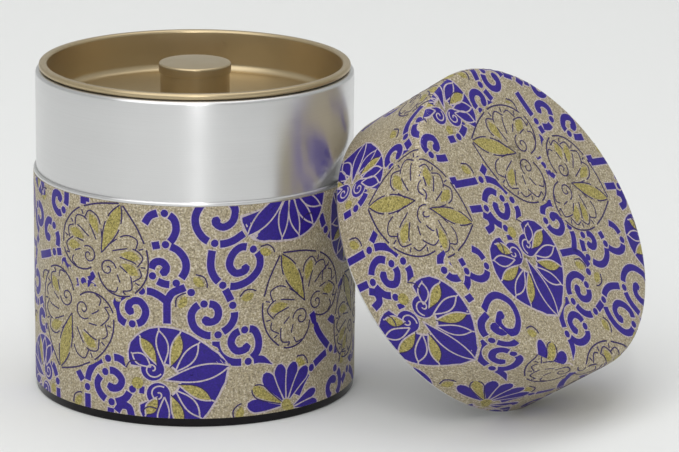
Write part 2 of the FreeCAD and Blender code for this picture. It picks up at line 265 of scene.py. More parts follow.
def make_turn_tree():
    """Turn an outline, given as points (radius, 0, height), about the Z axis."""
    tree, given = shape_tree("turned_piece", [
        ("Facets", "NodeSocketInt"), ("Start", "NodeSocketFloat"), ("Sweep", "NodeSocketFloat"),
        ("Material", "NodeSocketMaterial")])
    size = node(tree, "GeometryNodeAttributeDomainSize", {"Geometry": given["Geometry"]})
    rows = size.outputs["Point Count"]
    columns = maths(tree, "ADD", given["Facets"], 1.0)
    grid = node(tree, "GeometryNodeMeshGrid", {"Vertices X": columns, "Vertices Y": rows})
    index = node(tree, "GeometryNodeInputIndex").outputs[0]
    column = maths(tree, "FLOOR", maths(tree, "DIVIDE", maths(tree, "ADD", index, 0.5), rows))
    row = maths(tree, "SUBTRACT", index, maths(tree, "MULTIPLY", column, rows))
    spot = node(tree, "GeometryNodeInputPosition").outputs[0]
    picked = node(tree, "GeometryNodeSampleIndex", {
        "Geometry": given["Geometry"], "Value": spot, "Index": row}, data_type="FLOAT_VECTOR")
    point = node(tree, "ShaderNodeSeparateXYZ", {0: picked.outputs["Value"]})
    share = maths(tree, "DIVIDE", column, given["Facets"])
    angle = maths(tree, "ADD", maths(tree, "MULTIPLY", share, given["Sweep"]), given["Start"])
    place = node(tree, "ShaderNodeCombineXYZ", {
        "X": maths(tree, "MULTIPLY", point.outputs["X"], maths(tree, "COSINE", angle)),
        "Y": maths(tree, "MULTIPLY", point.outputs["X"], maths(tree, "SINE", angle)),
        "Z": point.outputs["Z"]})
    moved = node(tree, "GeometryNodeSetPosition", {
        "Geometry": grid.outputs["Mesh"], "Position": place.outputs[0]})
    merged = node(tree, "GeometryNodeMergeByDistance", {
        "Geometry": moved.outputs[0], "Distance": 0.002 * MM})
    end_tree(tree, merged.outputs[0], given["Material"])
    return tree


def make_ribbon_tree():
    """Lay a flat ribbon, as wide as each point's radius, along every line."""
    tree, given = shape_tree("print_ribbons", [
        ("Nib", "NodeSocketObject"), ("Material", "NodeSocketMaterial")])
    nib = node(tree, "GeometryNodeObjectInfo", {"Object": given["Nib"]})
    level = node(tree, "GeometryNodeSetCurveNormal", {"Curve": given["Geometry"]})
    level.mode = "Z_UP"
    radius = node(tree, "GeometryNodeInputRadius")
    swept = node(tree, "GeometryNodeCurveToMesh", {
        "Curve": level.outputs[0], "Profile Curve": nib.outputs["Geometry"],
        "Scale": radius.outputs[0], "Fill Caps": True})
    end_tree(tree, swept.outputs[0], given["Material"])
    return tree


def make_wrap_tree():
    """Repeat flat ribbons side by side and wrap them on the surface under an outline.

    Flat X runs round the piece and flat Y up its outline. From the middle, flat X and Y are
    the two directions on the top instead. Flat Z holds the level and the upper or lower side.
    """
    tree, given = shape_tree("print_wrap", [
        ("Outline", "NodeSocketObject"), ("Radius", "NodeSocketFloat"),
        ("Turns", "NodeSocketInt"), ("From the middle", "NodeSocketBool"),
        ("Lift", "NodeSocketFloat"), ("Level lift", "NodeSocketFloat"),
        ("Depth", "NodeSocketFloat"), ("Material", "NodeSocketMaterial")])
    turn = maths(tree, "MULTIPLY", given["Radius"], 2 * math.pi)
    step = node(tree, "ShaderNodeCombineXYZ", {"X": maths(tree, "DIVIDE", turn, given["Turns"])})
    row = node(tree, "GeometryNodeMeshLine", {"Count": given["Turns"], "Offset": step.outputs[0]})
    copies = node(tree, "GeometryNodeInstanceOnPoints", {
        "Points": row.outputs[0], "Instance": given["Geometry"]})
    real = node(tree, "GeometryNodeRealizeInstances", {"Geometry": copies.outputs[0]})
    position = node(tree, "GeometryNodeInputPosition").outputs[0]
    flat = node(tree, "ShaderNodeSeparateXYZ", {0: position})
    x, y, z = (flat.outputs[axis] for axis in "XYZ")
    level = maths(tree, "ROUND", maths(tree, "DIVIDE", z, STOREY * MM))
    side = maths(tree, "GREATER_THAN", z, maths(tree, "MULTIPLY", level, STOREY * MM))
    raised = maths(tree, "ADD", given["Lift"], maths(tree, "MULTIPLY", level, given["Level lift"]))
    sunk = maths(tree, "MULTIPLY", given["Depth"], -1.0)
    height = maths(tree, "ADD", maths(tree, "MULTIPLY", side, maths(
        tree, "SUBTRACT", raised, sunk)), sunk)
    outline = node(tree, "GeometryNodeObjectInfo", {"Object": given["Outline"]}).outputs["Geometry"]
    whole = node(tree, "GeometryNodeCurveLength", {"Curve": outline}).outputs[0]
    reach = maths(tree, "SQRT", maths(tree, "ADD", maths(tree, "MULTIPLY", x, x),
                                      maths(tree, "MULTIPLY", y, y)))
    round_angle = maths(tree, "DIVIDE", x, given["Radius"])
    top_angle = maths(tree, "ARCTAN2", y, x)

    def either(middle, side_value):
        """The first value from the middle, and otherwise the second."""
        return node(tree, "GeometryNodeSwitch", {
            "Switch": given["From the middle"], "False": side_value, "True": middle},
            input_type="FLOAT").outputs[0]

    angle = either(top_angle, maths(tree, "SUBTRACT", round_angle, math.pi / 2))
    along = either(maths(tree, "SUBTRACT", whole, reach), y)
    spot = node(tree, "GeometryNodeSampleCurve", {"Curves": outline, "Length": along},
                mode="LENGTH", use_all_curves=True)
    place = node(tree, "ShaderNodeSeparateXYZ", {0: spot.outputs["Position"]})
    slope = node(tree, "ShaderNodeSeparateXYZ", {0: spot.outputs["Tangent"]})
    out = maths(tree, "ADD", place.outputs["X"], maths(
        tree, "MULTIPLY", slope.outputs["Z"], height))
    up = maths(tree, "SUBTRACT", place.outputs["Z"], maths(
        tree, "MULTIPLY", slope.outputs["X"], height))
    wrapped = node(tree, "ShaderNodeCombineXYZ", {
        "X": maths(tree, "MULTIPLY", out, maths(tree, "COSINE", angle)),
        "Y": maths(tree, "MULTIPLY", out, maths(tree, "SINE", angle)), "Z": up})
    moved = node(tree, "GeometryNodeSetPosition", {
        "Geometry": real.outputs[0], "Position": wrapped.outputs[0]})
    end_tree(tree, moved.outputs[0], given["Material"])
    return tree


def shared(name, make):
    """A node tree or material by its name, made the first time."""
    found = bpy.data.node_groups.get(name) or bpy.data.materials.get(name)
    return found or make()


# ------------------------------------------------------------------ materials


def new_material(name):
    """An empty material with its shader, and Object coordinates."""
    material = bpy.data.materials.new(name)
    material.use_nodes = True
    tree = material.node_tree
    shader = tree.nodes["Principled BSDF"]
    spot = node(tree, "ShaderNodeTexCoord").outputs["Object"]
    return material, tree, shader, spot


def noise(tree, spot, scale, detail=2.0, roughness=0.5, stretch=None):
    """Noise at a scale per metre; stretch gives each axis its own share of it."""
    if stretch:
        spot = node(tree, "ShaderNodeMapping", {"Vector": spot, "Scale": stretch}).outputs[0]
    return node(tree, "ShaderNodeTexNoise", {
        "Vector": spot, "Scale": scale, "Detail": detail, "Roughness": roughness}).outputs["Fac"]


def ramp(tree, factor, stops):
    """Colours along a factor: (place, colour) pairs."""
    made = node(tree, "ShaderNodeValToRGB", {"Fac": factor})
    band = made.color_ramp
    while len(band.elements) < len(stops):
        band.elements.new(0.5)
    for element, (place, colour) in zip(band.elements, stops):
        element.position = place
        element.color = (*colour, 1.0)
    return made.outputs["Color"]


def blend(tree, factor, first, second):
    """Two colours mixed by a factor."""
    made = node(tree, "ShaderNodeMix", {0: factor}, data_type="RGBA")
    for socket, value in ((made.inputs[6], first), (made.inputs[7], second)):
        if isinstance(value, bpy.types.NodeSocket):
            tree.links.new(value, socket)
        else:
            socket.default_value = (*value, 1.0)
    return made.outputs[2]


def bump(tree, shader, height, strength, distance):
    """Small relief on a shader from a height field."""
    made = node(tree, "ShaderNodeBump", {
        "Height": height, "Strength": strength, "Distance": distance})
    tree.links.new(made.outputs[0], shader.inputs["Normal"])


def between(tree, factor, low, high):
    """A number from low to high as the factor goes from 0 to 1."""
    return node(tree, "ShaderNodeMapRange", {
        "Value": factor, "To Min": low, "To Max": high}).outputs["Result"]


def tint(colour, red, green, blue):
    """A colour with each part scaled."""
    return tuple(min(1.0, part * scale) for part, scale in zip(colour, (red, green, blue)))


def make_paper():
    """Sand-coloured paper with a fine grain of dark, light, yellow and lavender specks."""
    colours = bpy.context.scene.caddy_colours
    material, tree, shader, spot = new_material("caddy_paper")
    fine = noise(tree, spot, GRAIN, 2.0, 0.6)
    base = ramp(tree, fine, [
        (0.34, colours.paper_dark), (0.48, colours.paper), (0.54, colours.paper),
        (0.66, colours.paper_light)])
    hue = noise(tree, spot, 1600.0, 2.0)
    warm = blend(tree, between(tree, hue, -0.6, 1.3), tint(colours.paper, 1.12, 1.03, 0.62),
                 tint(colours.paper, 0.95, 0.97, 1.42))
    mixed = blend(tree, 0.24, base, warm)
    broad = noise(tree, spot, 60.0, 2.0)
    tree.links.new(blend(tree, between(tree, broad, 0.0, 0.22), mixed,
                         tint(colours.paper, 0.82, 0.8, 0.74)), shader.inputs["Base Color"])
    tree.links.new(between(tree, fine, 0.36, 0.62), shader.inputs["Roughness"])
    shader.inputs["Metallic"].default_value = 0.12
    shader.inputs["Specular IOR Level"].default_value = 0.55
    bump(tree, shader, fine, 0.25, 0.05 * MM)
    return material


def make_ink(name, colour, dark, light, roughness):
    """A printed ink that lets the paper's grain through."""
    material, tree, shader, spot = new_material(name)
    fine = noise(tree, spot, GRAIN, 2.0, 0.6)
    tree.links.new(ramp(tree, fine, [
        (0.34, tint(colour, *dark)), (0.48, colour), (0.54, colour), (0.68, tint(colour, *light))]),
        shader.inputs["Base Color"])
    tree.links.new(between(tree, fine, roughness - 0.1, roughness + 0.1),
                   shader.inputs["Roughness"])
    shader.inputs["Specular IOR Level"].default_value = 0.4
    bump(tree, shader, fine, 0.2, 0.04 * MM)
    return material


def make_blue():
    """Deep blue ink, nearly even."""
    colour = bpy.context.scene.caddy_colours.blue
    return make_ink("caddy_blue_ink", colour, (0.6, 0.6, 0.7), (1.5, 1.8, 1.25), 0.5)


def make_pale():
    """Pale lavender-grey line."""
    colour = bpy.context.scene.caddy_colours.pale
    return make_ink("caddy_pale_ink", colour, (0.7, 0.68, 0.72), (1.15, 1.15, 1.15), 0.5)


def make_mustard():
    """Grainy mustard yellow."""
    colour = bpy.context.scene.caddy_colours.mustard
    return make_ink("caddy_mustard_ink", colour, (0.4, 0.4, 0.5), (1.6, 1.6, 2.4), 0.5)


def make_dark():
    """Near-black indigo for thin lines."""
    colour = bpy.context.scene.caddy_colours.dark
    return make_ink("caddy_dark_ink", colour, (0.6, 0.6, 0.6), (1.6, 1.6, 1.5), 0.5)


def brushed(name, colour, low, high, turned_by=None):
    """Bright metal with fine lines brushed round its axis; roughness runs from low to high."""
    material, tree, shader, spot = new_material(name)
    if turned_by is None:
        round_axis = node(tree, "ShaderNodeVectorMath", {0: spot, 1: (0.0, 0.0, 1.0)},
                          operation="CROSS_PRODUCT")
        tree.links.new(round_axis.outputs[0], shader.inputs["Tangent"])
        shader.inputs["Anisotropic"].default_value = 0.75
        shader.inputs["Anisotropic Rotation"].default_value = 0.25
    else:
        spot = node(tree, "ShaderNodeMapping", {"Vector": spot, "Rotation": turned_by}).outputs[0]
    lines = noise(tree, spot, 1.0, 3.0, 0.75, stretch=(25.0, 25.0, 5200.0))
    broad = noise(tree, spot, 1.0, 2.0, 0.5, stretch=(40.0, 40.0, 420.0))
    tone = blend(tree, between(tree, lines, 0.0, 0.35), colour, tint(colour, 0.72, 0.72, 0.73))
    tree.links.new(tone, shader.inputs["Base Color"])
    tree.links.new(between(tree, broad, low, high), shader.inputs["Roughness"])
    shader.inputs["Metallic"].default_value = 1.0
    bump(tree, shader, lines, 0.1, 0.02 * MM)
    return material


def make_tinplate():
    """Bright tinplate of the neck and hem."""
    return brushed("caddy_tinplate", bpy.context.scene.caddy_colours.tin, 0.26, 0.36)


def make_lid_tinplate():
    """The same plate inside the leaning lid, with its lines round the lid's axis."""
    turn = lid_place().to_3x3().inverted().to_euler()
    return brushed("caddy_tinplate_lid", bpy.context.scene.caddy_colours.tin, 0.2, 0.34, turn)


def make_gold():
    """Satin gold lacquer on plate."""
    colour = bpy.context.scene.caddy_colours.gold
    material, tree, shader, spot = new_material("caddy_gold_lacquer")
    cloud = noise(tree, spot, 180.0, 4.0)
    fine = noise(tree, spot, 2400.0, 2.0)
    tone = blend(tree, between(tree, cloud, 0.0, 0.3), colour, tint(colour, 0.86, 0.83, 0.76))
    tree.links.new(tone, shader.inputs["Base Color"])
    tree.links.new(between(tree, cloud, 0.26, 0.4), shader.inputs["Roughness"])
    shader.inputs["Metallic"].default_value = 0.92
    bump(tree, shader, fine, 0.1, 0.02 * MM)
    return material


def make_black():
    """Glossy black lacquer on the foot."""
    colour = bpy.context.scene.caddy_colours.black
    material, tree, shader, spot = new_material("caddy_black_lacquer")
    wear = noise(tree, spot, 300.0, 4.0)
    tree.links.new(blend(tree, between(tree, wear, 0.0, 0.35), colour, tint(colour, 2.2, 2.2, 2.2)),
                   shader.inputs["Base Color"])
    tree.links.new(between(tree, wear, 0.1, 0.22), shader.inputs["Roughness"])
    shader.inputs["Specular IOR Level"].default_value = 0.25
    return material


def make_stage_paper():
    """Matt pale floor."""
    colour = bpy.context.scene.caddy_colours.stage
    material, tree, shader, spot = new_material("caddy_stage")
    cloud = noise(tree, spot, 3.0, 2.0)
    clouded = blend(tree, between(tree, cloud, 0.0, 0.15), colour, tint(colour, .97, .97, .97))
    tree.links.new(clouded, shader.inputs["Base Color"])
    shader.inputs["Roughness"].default_value = 0.8
    shader.inputs["Specular IOR Level"].default_value = 0.2
    return material


# ------------------------------------------------------------------ turned pieces


def bend_corner(before, corner, after, radius):
    """The points of an arc that rounds a corner between two straight runs."""
    here = Vector(corner)
    first = (Vector(before) - here).normalized()
    second = (Vector(after) - here).normalized()
    half = first.angle(second) / 2
    middle = here + (first + second).normalized() * (radius / math.sin(half))
    start = here + first * (radius / math.tan(half)) - middle
    end = here + second * (radius / math.tan(half)) - middle
    whole = start.angle(end)
    points = []
    for number in range(CORNER_STEPS + 1):
        share = number / CORNER_STEPS
        spoke = (start * math.sin((1 - share) * whole) + end * math.sin(share * whole))
        points.append(tuple(middle + spoke / math.sin(whole)))
    return points


def softened(corners):
    """An outline from corners (radius, height, rounding), in order, closed off the axis."""
    points = []
    for number, (radius, height, rounding) in enumerate(corners):
        if rounding:
            before = corners[number - 1][:2]
            after = corners[(number + 1) % len(corners)][:2]
            points.extend(bend_corner(before, (radius, height), after, rounding))
        else:
            points.append((radius, height))
    return points


def with_domes(points):
    """Turn each sloping run that meets the axis into a low dome."""
    result = []
    for number, (radius, height) in enumerate(points):
        result.append((radius, height))
        if number + 1 == len(points):
            break
        next_radius, next_height = points[number + 1]
        if (radius == 0.0) == (next_radius == 0.0) or abs(height - next_height) < NEAR:
            continue
        edge_radius, edge = (next_radius, next_height) if radius == 0.0 else (radius, height)
        rise = (height if radius == 0.0 else next_height) - edge
        for step in range(1, DOME_STEPS):
            share = step / DOME_STEPS
            reach = share if radius == 0.0 else 1.0 - share
            result.append((edge_radius * reach, edge + rise * (1.0 - reach * reach)))
    return result


def divided(points, longest):
    """The same outline with extra points on its long runs."""
    result = [points[0]]
    for start, end in zip(points, points[1:]):
        parts = max(1, math.ceil(math.dist(start, end) / longest))
        for part in range(1, parts + 1):
            share = part / parts
            result.append(tuple(a + (b - a) * share for a, b in zip(start, end)))
    return result


def close_cuts(shape):
    """Close every open ring of a shape."""
    cuts = [edge for edge in shape.edges if edge.is_boundary]
    if cuts:
        bmesh.ops.holes_fill(shape, edges=cuts, sides=0)


def split_large(shape):
    """Divide every face of more than four corners into triangles."""
    bmesh.ops.triangulate(shape, faces=[face for face in shape.faces if len(face.verts) > 4])


def whole(shape):
    """Everything a shape is made of."""
    return shape.verts[:] + shape.edges[:] + shape.faces[:]


def touching(faces):
    """Some faces with their edges and corners."""
    edges = {edge for face in faces for edge in face.edges}
    verts = {vert for face in faces for vert in face.verts}
    return list(verts) + list(edges) + faces


def cut_at(shape, parts, place, outward, remove=False):
    """Cut parts of a shape along a plane, and remove what lies beyond it where asked."""
    bmesh.ops.bisect_plane(shape, geom=parts, dist=NEAR, plane_co=place, plane_no=outward,
                           clear_outer=remove)


def repaired(mesh):
    """Close a mesh's open rings and turn its faces outwards."""
    shape = bmesh.new()
    shape.from_mesh(mesh)
    close_cuts(shape)
    bmesh.ops.recalc_face_normals(shape, faces=shape.faces)
    shape.to_mesh(mesh)
    shape.free()
    if any(len(polygon.vertices) < 3 for polygon in mesh.polygons):
        raise RuntimeError("a face has fewer than three corners: " + mesh.name)


def settle(name, mesh, body, crease=28.0):
    """Make a finished mesh a piece that rides on a body."""
    mesh.name = name
    mesh.shade_smooth()
    mesh.set_sharp_from_angle(angle=math.radians(crease))
    piece = bpy.data.objects.new(name, mesh)
    bpy.context.scene.collection.objects.link(piece)
    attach(piece, body)
    return piece


def from_axis(corners):
    """The same closed outline, started where it leaves the axis if it crosses to it midway."""
    on_axis = [number for number, corner in enumerate(corners) if corner[0] == 0.0]
    if len(on_axis) == 2 and on_axis[1] == on_axis[0] + 1:
        return corners[on_axis[1]:] + corners[:on_axis[1]]
    return corners


def turn_outline(corners, material, gap=0.0, facets=None):
    """The mesh of an outline turned about +Z; a gap leaves an open seam at the back."""
    sizes = bpy.context.scene.caddy_sizes
    points = with_domes(softened(from_axis(corners)))
    if all(radius > 0.0 for radius, _ in points):
        points.append(points[0])
    points = divided(points, 6.0 * MM)
    outline = bpy.data.meshes.new("outline")
    outline.from_pydata([(radius, 0.0, height) for radius, height in points], [], [])
    worker = bpy.data.objects.new("outline", outline)
    bpy.context.scene.collection.objects.link(worker)
    widest = max(radius for radius, _ in points)
    spread = gap / widest
    mesh = run_tree(worker, shared("turned_piece", make_turn_tree), {
        "Facets": facets or sizes.facets, "Start": math.pi / 2 + spread / 2,
        "Sweep": 2 * math.pi - spread, "Material": material})
    bpy.data.objects.remove(worker)
    repaired(mesh)
    return mesh


def lid_place():
    """The leaning lid's own frame: its rim at zero, its top along Z, its front along -Y."""
    sizes = bpy.context.scene.caddy_sizes
    tilt, heading = sizes.lean_tilt, sizes.lean_heading
    axis = Vector((math.sin(tilt) * math.cos(heading), math.sin(tilt) * math.sin(heading),
                   math.cos(tilt)))
    level = Vector((-math.sin(heading), math.cos(heading), 0.0))
    across = axis.cross(level)
    points = [vertex.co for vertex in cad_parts["lid_shell"].data.vertices]
    origin = Vector()
    for direction in (level, across):
        reaches = [point.dot(direction) for point in points]
        origin += direction * (min(reaches) + max(reaches)) / 2
    origin += axis * min(point.dot(axis) for point in points)
    turn = Matrix((level, across, axis)).transposed().to_4x4()
    return Matrix.Translation(origin) @ turn


def lid_radii():
    """Inside of the lid's plate, outside of it, and outside of its paper."""
    sizes = bpy.context.scene.caddy_sizes
    place = lid_place().inverted()
    reach = max((place @ vertex.co).to_2d().length
                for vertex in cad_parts["lid_paper"].data.vertices)
    return reach - sizes.paper - sizes.plate, reach - sizes.paper, reach


def build_tin():
    """The seam ring and panel, the outer tube with its hem, the paper and the neck."""
    sizes = bpy.context.scene.caddy_sizes
    plate, foot = sizes.plate, sizes.foot_height
    black = shared("caddy_black_lacquer", make_black)
    bright = shared("caddy_tinplate", make_tinplate)
    paper = shared("caddy_paper", make_paper)

    ring_out = sizes.body_radius - RING_INSET
    ring_in = ring_out - RING_WALL
    step = ring_in - BASE_STEP
    low, high = BASE_LOW, BASE_HIGH
    base = turn_outline([
        (0.0, high, 0), (step, high, 0.4 * MM), (step, low, 0.2 * MM), (ring_in, low, 0.3 * MM),
        (ring_in, 0.0, 0.4 * MM), (ring_out, 0.0, 0.4 * MM), (ring_out, foot, 0),
        (ring_in, foot, 0), (ring_in, low + plate, 0), (step + plate, low + plate, 0.2 * MM),
        (step + plate, high + plate, 0.4 * MM), (0.0, high + plate, 0)], black)
    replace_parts(settle("foot", base, "tin"), "base_end")

    shell_out = sizes.body_radius - sizes.paper
    shell_in = shell_out - plate
    hem_out = shell_out + HEM_STEP
    shell = turn_outline([
        (shell_in, foot, 0), (shell_out, foot, 0), (shell_out, sizes.paper_top, 0),
        (hem_out, sizes.paper_top, 0.15 * MM), (hem_out, sizes.body_height, 0.5 * MM),
        (sizes.neck_radius, sizes.body_height, 0.1 * MM),
        (sizes.neck_radius, sizes.paper_top + plate, 0), (shell_in, sizes.paper_top + plate, 0)],
        bright)
    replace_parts(settle("outer_tube", shell, "tin"), "body_shell")

    cover = turn_outline([
        (shell_out, foot, 0), (sizes.body_radius, foot, 0.05 * MM),
        (sizes.body_radius, sizes.paper_top, 0.08 * MM), (shell_out, sizes.paper_top, 0)],
        paper, gap=sizes.seam)
    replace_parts(settle("cover_paper", cover, "tin"), "body_paper")

    neck_out, neck_top = sizes.neck_radius, sizes.neck_height
    neck_in = neck_out - plate
    mouth = neck_out - MOUTH_FLANGE
    lip, under = mouth + plate, neck_top - plate
    sleeve = turn_outline([
        (neck_in, foot, 0), (neck_out, foot, 0), (neck_out, neck_top, 0.9 * MM),
        (mouth, neck_top, 0.6 * MM), (mouth, neck_top - MOUTH_LIP, 0.1 * MM),
        (lip, neck_top - MOUTH_LIP, 0.1 * MM), (lip, under, 0.25 * MM),
        (neck_in, under, 0.55 * MM)], bright)
    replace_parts(settle("neck", sleeve, "tin"), "inner_sleeve")


def build_inner_lid():
    """The dished lid with its rolled rim, and the knob."""
    sizes = bpy.context.scene.caddy_sizes
    plate, floor, top = sizes.plate, sizes.pan_floor, sizes.rim_top
    gold = shared("caddy_gold_lacquer", make_gold)
    rim_out = sizes.rim_radius
    pan_in = rim_out - RIM_WIDTH
    pan_out = pan_in + plate
    low = top - RIM_DROP
    hole = RIVET_HOLE
    pan = turn_outline([
        (hole, floor - plate, 0), (pan_out, floor - plate, 2.35 * MM),
        (pan_out, top - plate, 0.35 * MM), (rim_out - plate, top - plate, 0.35 * MM),
        (rim_out - plate, low + plate, 0.35 * MM), (pan_out + plate, low + plate, 0.1 * MM),
        (pan_out + plate, low, 0.1 * MM), (rim_out, low, 0.7 * MM), (rim_out, top, 0.7 * MM),
        (pan_in, top, 0.7 * MM), (pan_in, floor, 2.0 * MM), (hole, floor, 0)], gold)
    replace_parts(settle("dished_lid", pan, "inner_lid"), "inner_lid_pan")

    dome = KNOB_DOME
    edge = sizes.knob_top - dome
    cup_out = sizes.knob_radius - plate
    cup = turn_outline([
        (hole, floor, 0), (cup_out, floor, 0.6 * MM), (cup_out, edge - plate, 0.05 * MM),
        (cup_out - plate, edge - plate, 0.05 * MM), (cup_out - plate, floor + plate, 0.2 * MM),
        (hole, floor + plate, 0)], gold, facets=128)
    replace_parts(settle("knob_lower_cup", cup, "inner_lid"), "knob_cup")
    cap = turn_outline([
        (cup_out, edge - CAP_SKIRT, 0.1 * MM), (sizes.knob_radius, edge - CAP_SKIRT, 0.12 * MM),
        (sizes.knob_radius, edge, 0.5 * MM), (0.0, edge + dome, 0),
        (0.0, edge + dome - plate, 0), (cup_out, edge - plate, 0.2 * MM)], gold, facets=128)
    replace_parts(settle("knob_top_cap", cap, "inner_lid"), "knob_cap")
    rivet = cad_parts["knob_rivet"]
    rivet.data.materials.clear()
    rivet.data.materials.append(gold)


def build_outer_lid():
    """The lid's plate, bright inside, and its paper."""
    sizes = bpy.context.scene.caddy_sizes
    plate, paper = sizes.plate, sizes.paper
    inside, plate_out, paper_out = lid_radii()
    place = lid_place()
    edge = sizes.lid_height - sizes.lid_dome
    plate_edge = edge - paper
    dome = sizes.lid_dome
    shell = turn_outline([
        (inside, 0.0, 0.1 * MM), (plate_out, 0.0, 0.1 * MM),
        (plate_out, plate_edge, sizes.shoulder - paper), (0.0, plate_edge + dome, 0),
        (0.0, plate_edge - plate + dome, 0),
        (inside, plate_edge - plate, sizes.shoulder - paper - plate)],
        shared("caddy_tinplate_lid", make_lid_tinplate))
    shell.transform(place)
    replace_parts(settle("lid_plate", shell, "outer_lid"), "lid_shell")
    cover = turn_outline([
        (plate_out, sizes.paper_stop, 0), (paper_out, sizes.paper_stop, 0.08 * MM),
        (paper_out, edge, sizes.shoulder), (0.0, edge + dome, 0),
        (0.0, edge - paper + dome, 0), (plate_out, edge - paper, sizes.shoulder - paper)],
        shared("caddy_paper", make_paper))
    cover.transform(place)
    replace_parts(settle("lid_cover_paper", cover, "outer_lid"), "lid_paper")


# ------------------------------------------------------------------ drawing the print


class Drawing:
    """Flat strokes, in millimetres, sorted by layer. A stroke is a list of (x, y, half width)."""

    def __init__(self):
        """Start with empty layers."""
        self.strokes = {layer: [] for layer, _, _ in LAYERS}
        self.count = 0
        self.beads = []

    def stroke(self, layer, points):
        """Add a stroke; neighbours get slightly different levels so that none coincide."""
        self.count += 1
        if len(points) > 1:
            self.strokes[layer].append((self.count % 4, points))

    def blue(self, points):
        """A blue stroke of a scroll with its pale line round it."""
        self.stroke("scrolls", points)
        self.stroke("scroll_edges", grown(points, bpy.context.scene.caddy_print.margin / MM))

    def bead(self, x, y, radius):
        """A round bead, once only where several bands meet."""
        if all(math.dist((x, y), spot) > radius for spot in self.beads):
            self.beads.append((x, y))
            self.blue(disc(x, y, radius))


def grown(points, margin):
    """A stroke made wider and longer by a margin all round."""
    wide = [(x, y, half + margin) for x, y, half in points]
    for end, inner in ((0, 1), (-1, -2)):
        x, y, half = points[end]
        dx, dy = x - points[inner][0], y - points[inner][1]
        length = math.hypot(dx, dy) or 1.0
        far = (x + dx / length * margin, y + dy / length * margin, half + margin * 0.4)
        wide.insert(0 if end == 0 else len(wide), far)
    return wide


def smooth_line(keys, spacing=0.6):
    """A smooth line through key points, as points close together."""
    keys = [Vector(key) for key in keys]
    ends = [keys[0] * 2 - keys[1]] + keys + [keys[-1] * 2 - keys[-2]]
    points = []
    for number in range(1, len(ends) - 2):
        a, b, c, d = ends[number - 1:number + 3]
        steps = max(1, round((c - b).length / spacing))
        for step in range(steps):
            t = step / steps
            points.append(0.5 * (2 * b + (c - a) * t + (2 * a - 5 * b + 4 * c - d) * t * t
                                 + (3 * b - a - 3 * c + d) * t * t * t))
    points.append(keys[-1])
    return points


def with_width(line, width):
    """A stroke from a line and a function of the share along it."""
    last = max(1, len(line) - 1)
    return [(p[0], p[1], max(0.03, width(k / last))) for k, p in enumerate(line)]


def disc(x, y, radius):
    """A round dot as a stroke."""
    steps = 10
    points = []
    for number in range(steps + 1):
        turn = math.pi * number / steps
        points.append((x - radius * math.cos(turn), y, max(0.03, radius * math.sin(turn))))
    return points


def spiral_line(x, y, outer, inner, start, turn, power=1.0, spacing=0.55):
    """Points of a spiral from its outer end inwards; angles in degrees, turn signed."""
    steps = max(8, round(abs(math.radians(turn)) * (outer + inner) / 2 / spacing))
    points = []
    for number in range(steps + 1):
        share = number / steps
        radius = outer - (outer - inner) * share ** power
        angle = math.radians(start + turn * share)
        points.append((x + radius * math.cos(angle), y + radius * math.sin(angle)))
    return points


def band_with_beads(drawing, line, spots, end="square"):
    """A blue band along a line, cut by round beads at the given numbers of its points."""
    style = bpy.context.scene.caddy_print
    band, bead, margin = style.band / MM, style.bead / MM, style.margin / MM
    reach = [0.0]
    for first, second in zip(line, line[1:]):
        reach.append(reach[-1] + math.dist(first, second))
    total = reach[-1]
    gap = bead + margin * 1.2
    parts = []
    low = 0.0
    for spot in spots:
        parts.append((low, reach[spot] - gap))
        low = reach[spot] + gap
    parts.append((low, total))

    def width(distance):
        """Half the band's width: fuller and round at a knob, narrower at a pointed end."""
        left = total - distance
        if end == "knob":
            swell = 1.0 + KNOB_SWELL * max(0.0, 1.0 - left / KNOB_REACH)
            tip = 1 - (1 - left / KNOB_TIP) ** 2 if left < KNOB_TIP else 1.0
            return band * swell * math.sqrt(max(0.02, tip))
        if end == "point":
            return band * max(0.1, min(1.0, left / POINT_REACH))
        return band

    for low, high in parts:
        part = [(p[0], p[1], width(d)) for p, d in zip(line, reach) if low <= d <= high]
        if len(part) > 2:
            drawing.blue(part)
    for spot in spots:
        drawing.bead(line[spot][0], line[spot][1], bead)


def scroll(drawing, x, y, outer, start, turn, beads):
    """A band that curls inwards, with beads at the given degrees along its turn."""
    line = spiral_line(x, y, outer, 1.0, start, turn)
    last = len(line) - 1
    spots = [round(last * degrees / abs(turn)) for degrees in beads]
    band_with_beads(drawing, line, spots, "knob")


def stem(drawing, keys, beads=(), end="square"):
    """A blue band along key points, with beads where it passes the given places."""
    line = smooth_line(keys)
    spots = sorted(min(range(len(line)), key=lambda k: math.dist(line[k], bead))
                   for bead in beads)
    band_with_beads(drawing, line, spots, end)


# A heart-shaped leaf seen flat: how far its edge lies from the hub, at angles from its tip.
HEART = ((0, 1.0), (14, 0.9), (35, 0.84), (60, 0.84), (85, 0.83), (110, 0.75), (130, 0.57),
         (150, 0.34), (164, 0.16))


def heart_reach(angle):
    """The share of the leaf's length from its hub to its edge, at an angle from its tip."""
    angle = min(abs(angle), HEART[-1][0])
    for (low, near), (high, far) in zip(HEART, HEART[1:]):
        if angle <= high:
            share = (angle - low) / (high - low)
            return near + (far - near) * share
    return HEART[-1][1]


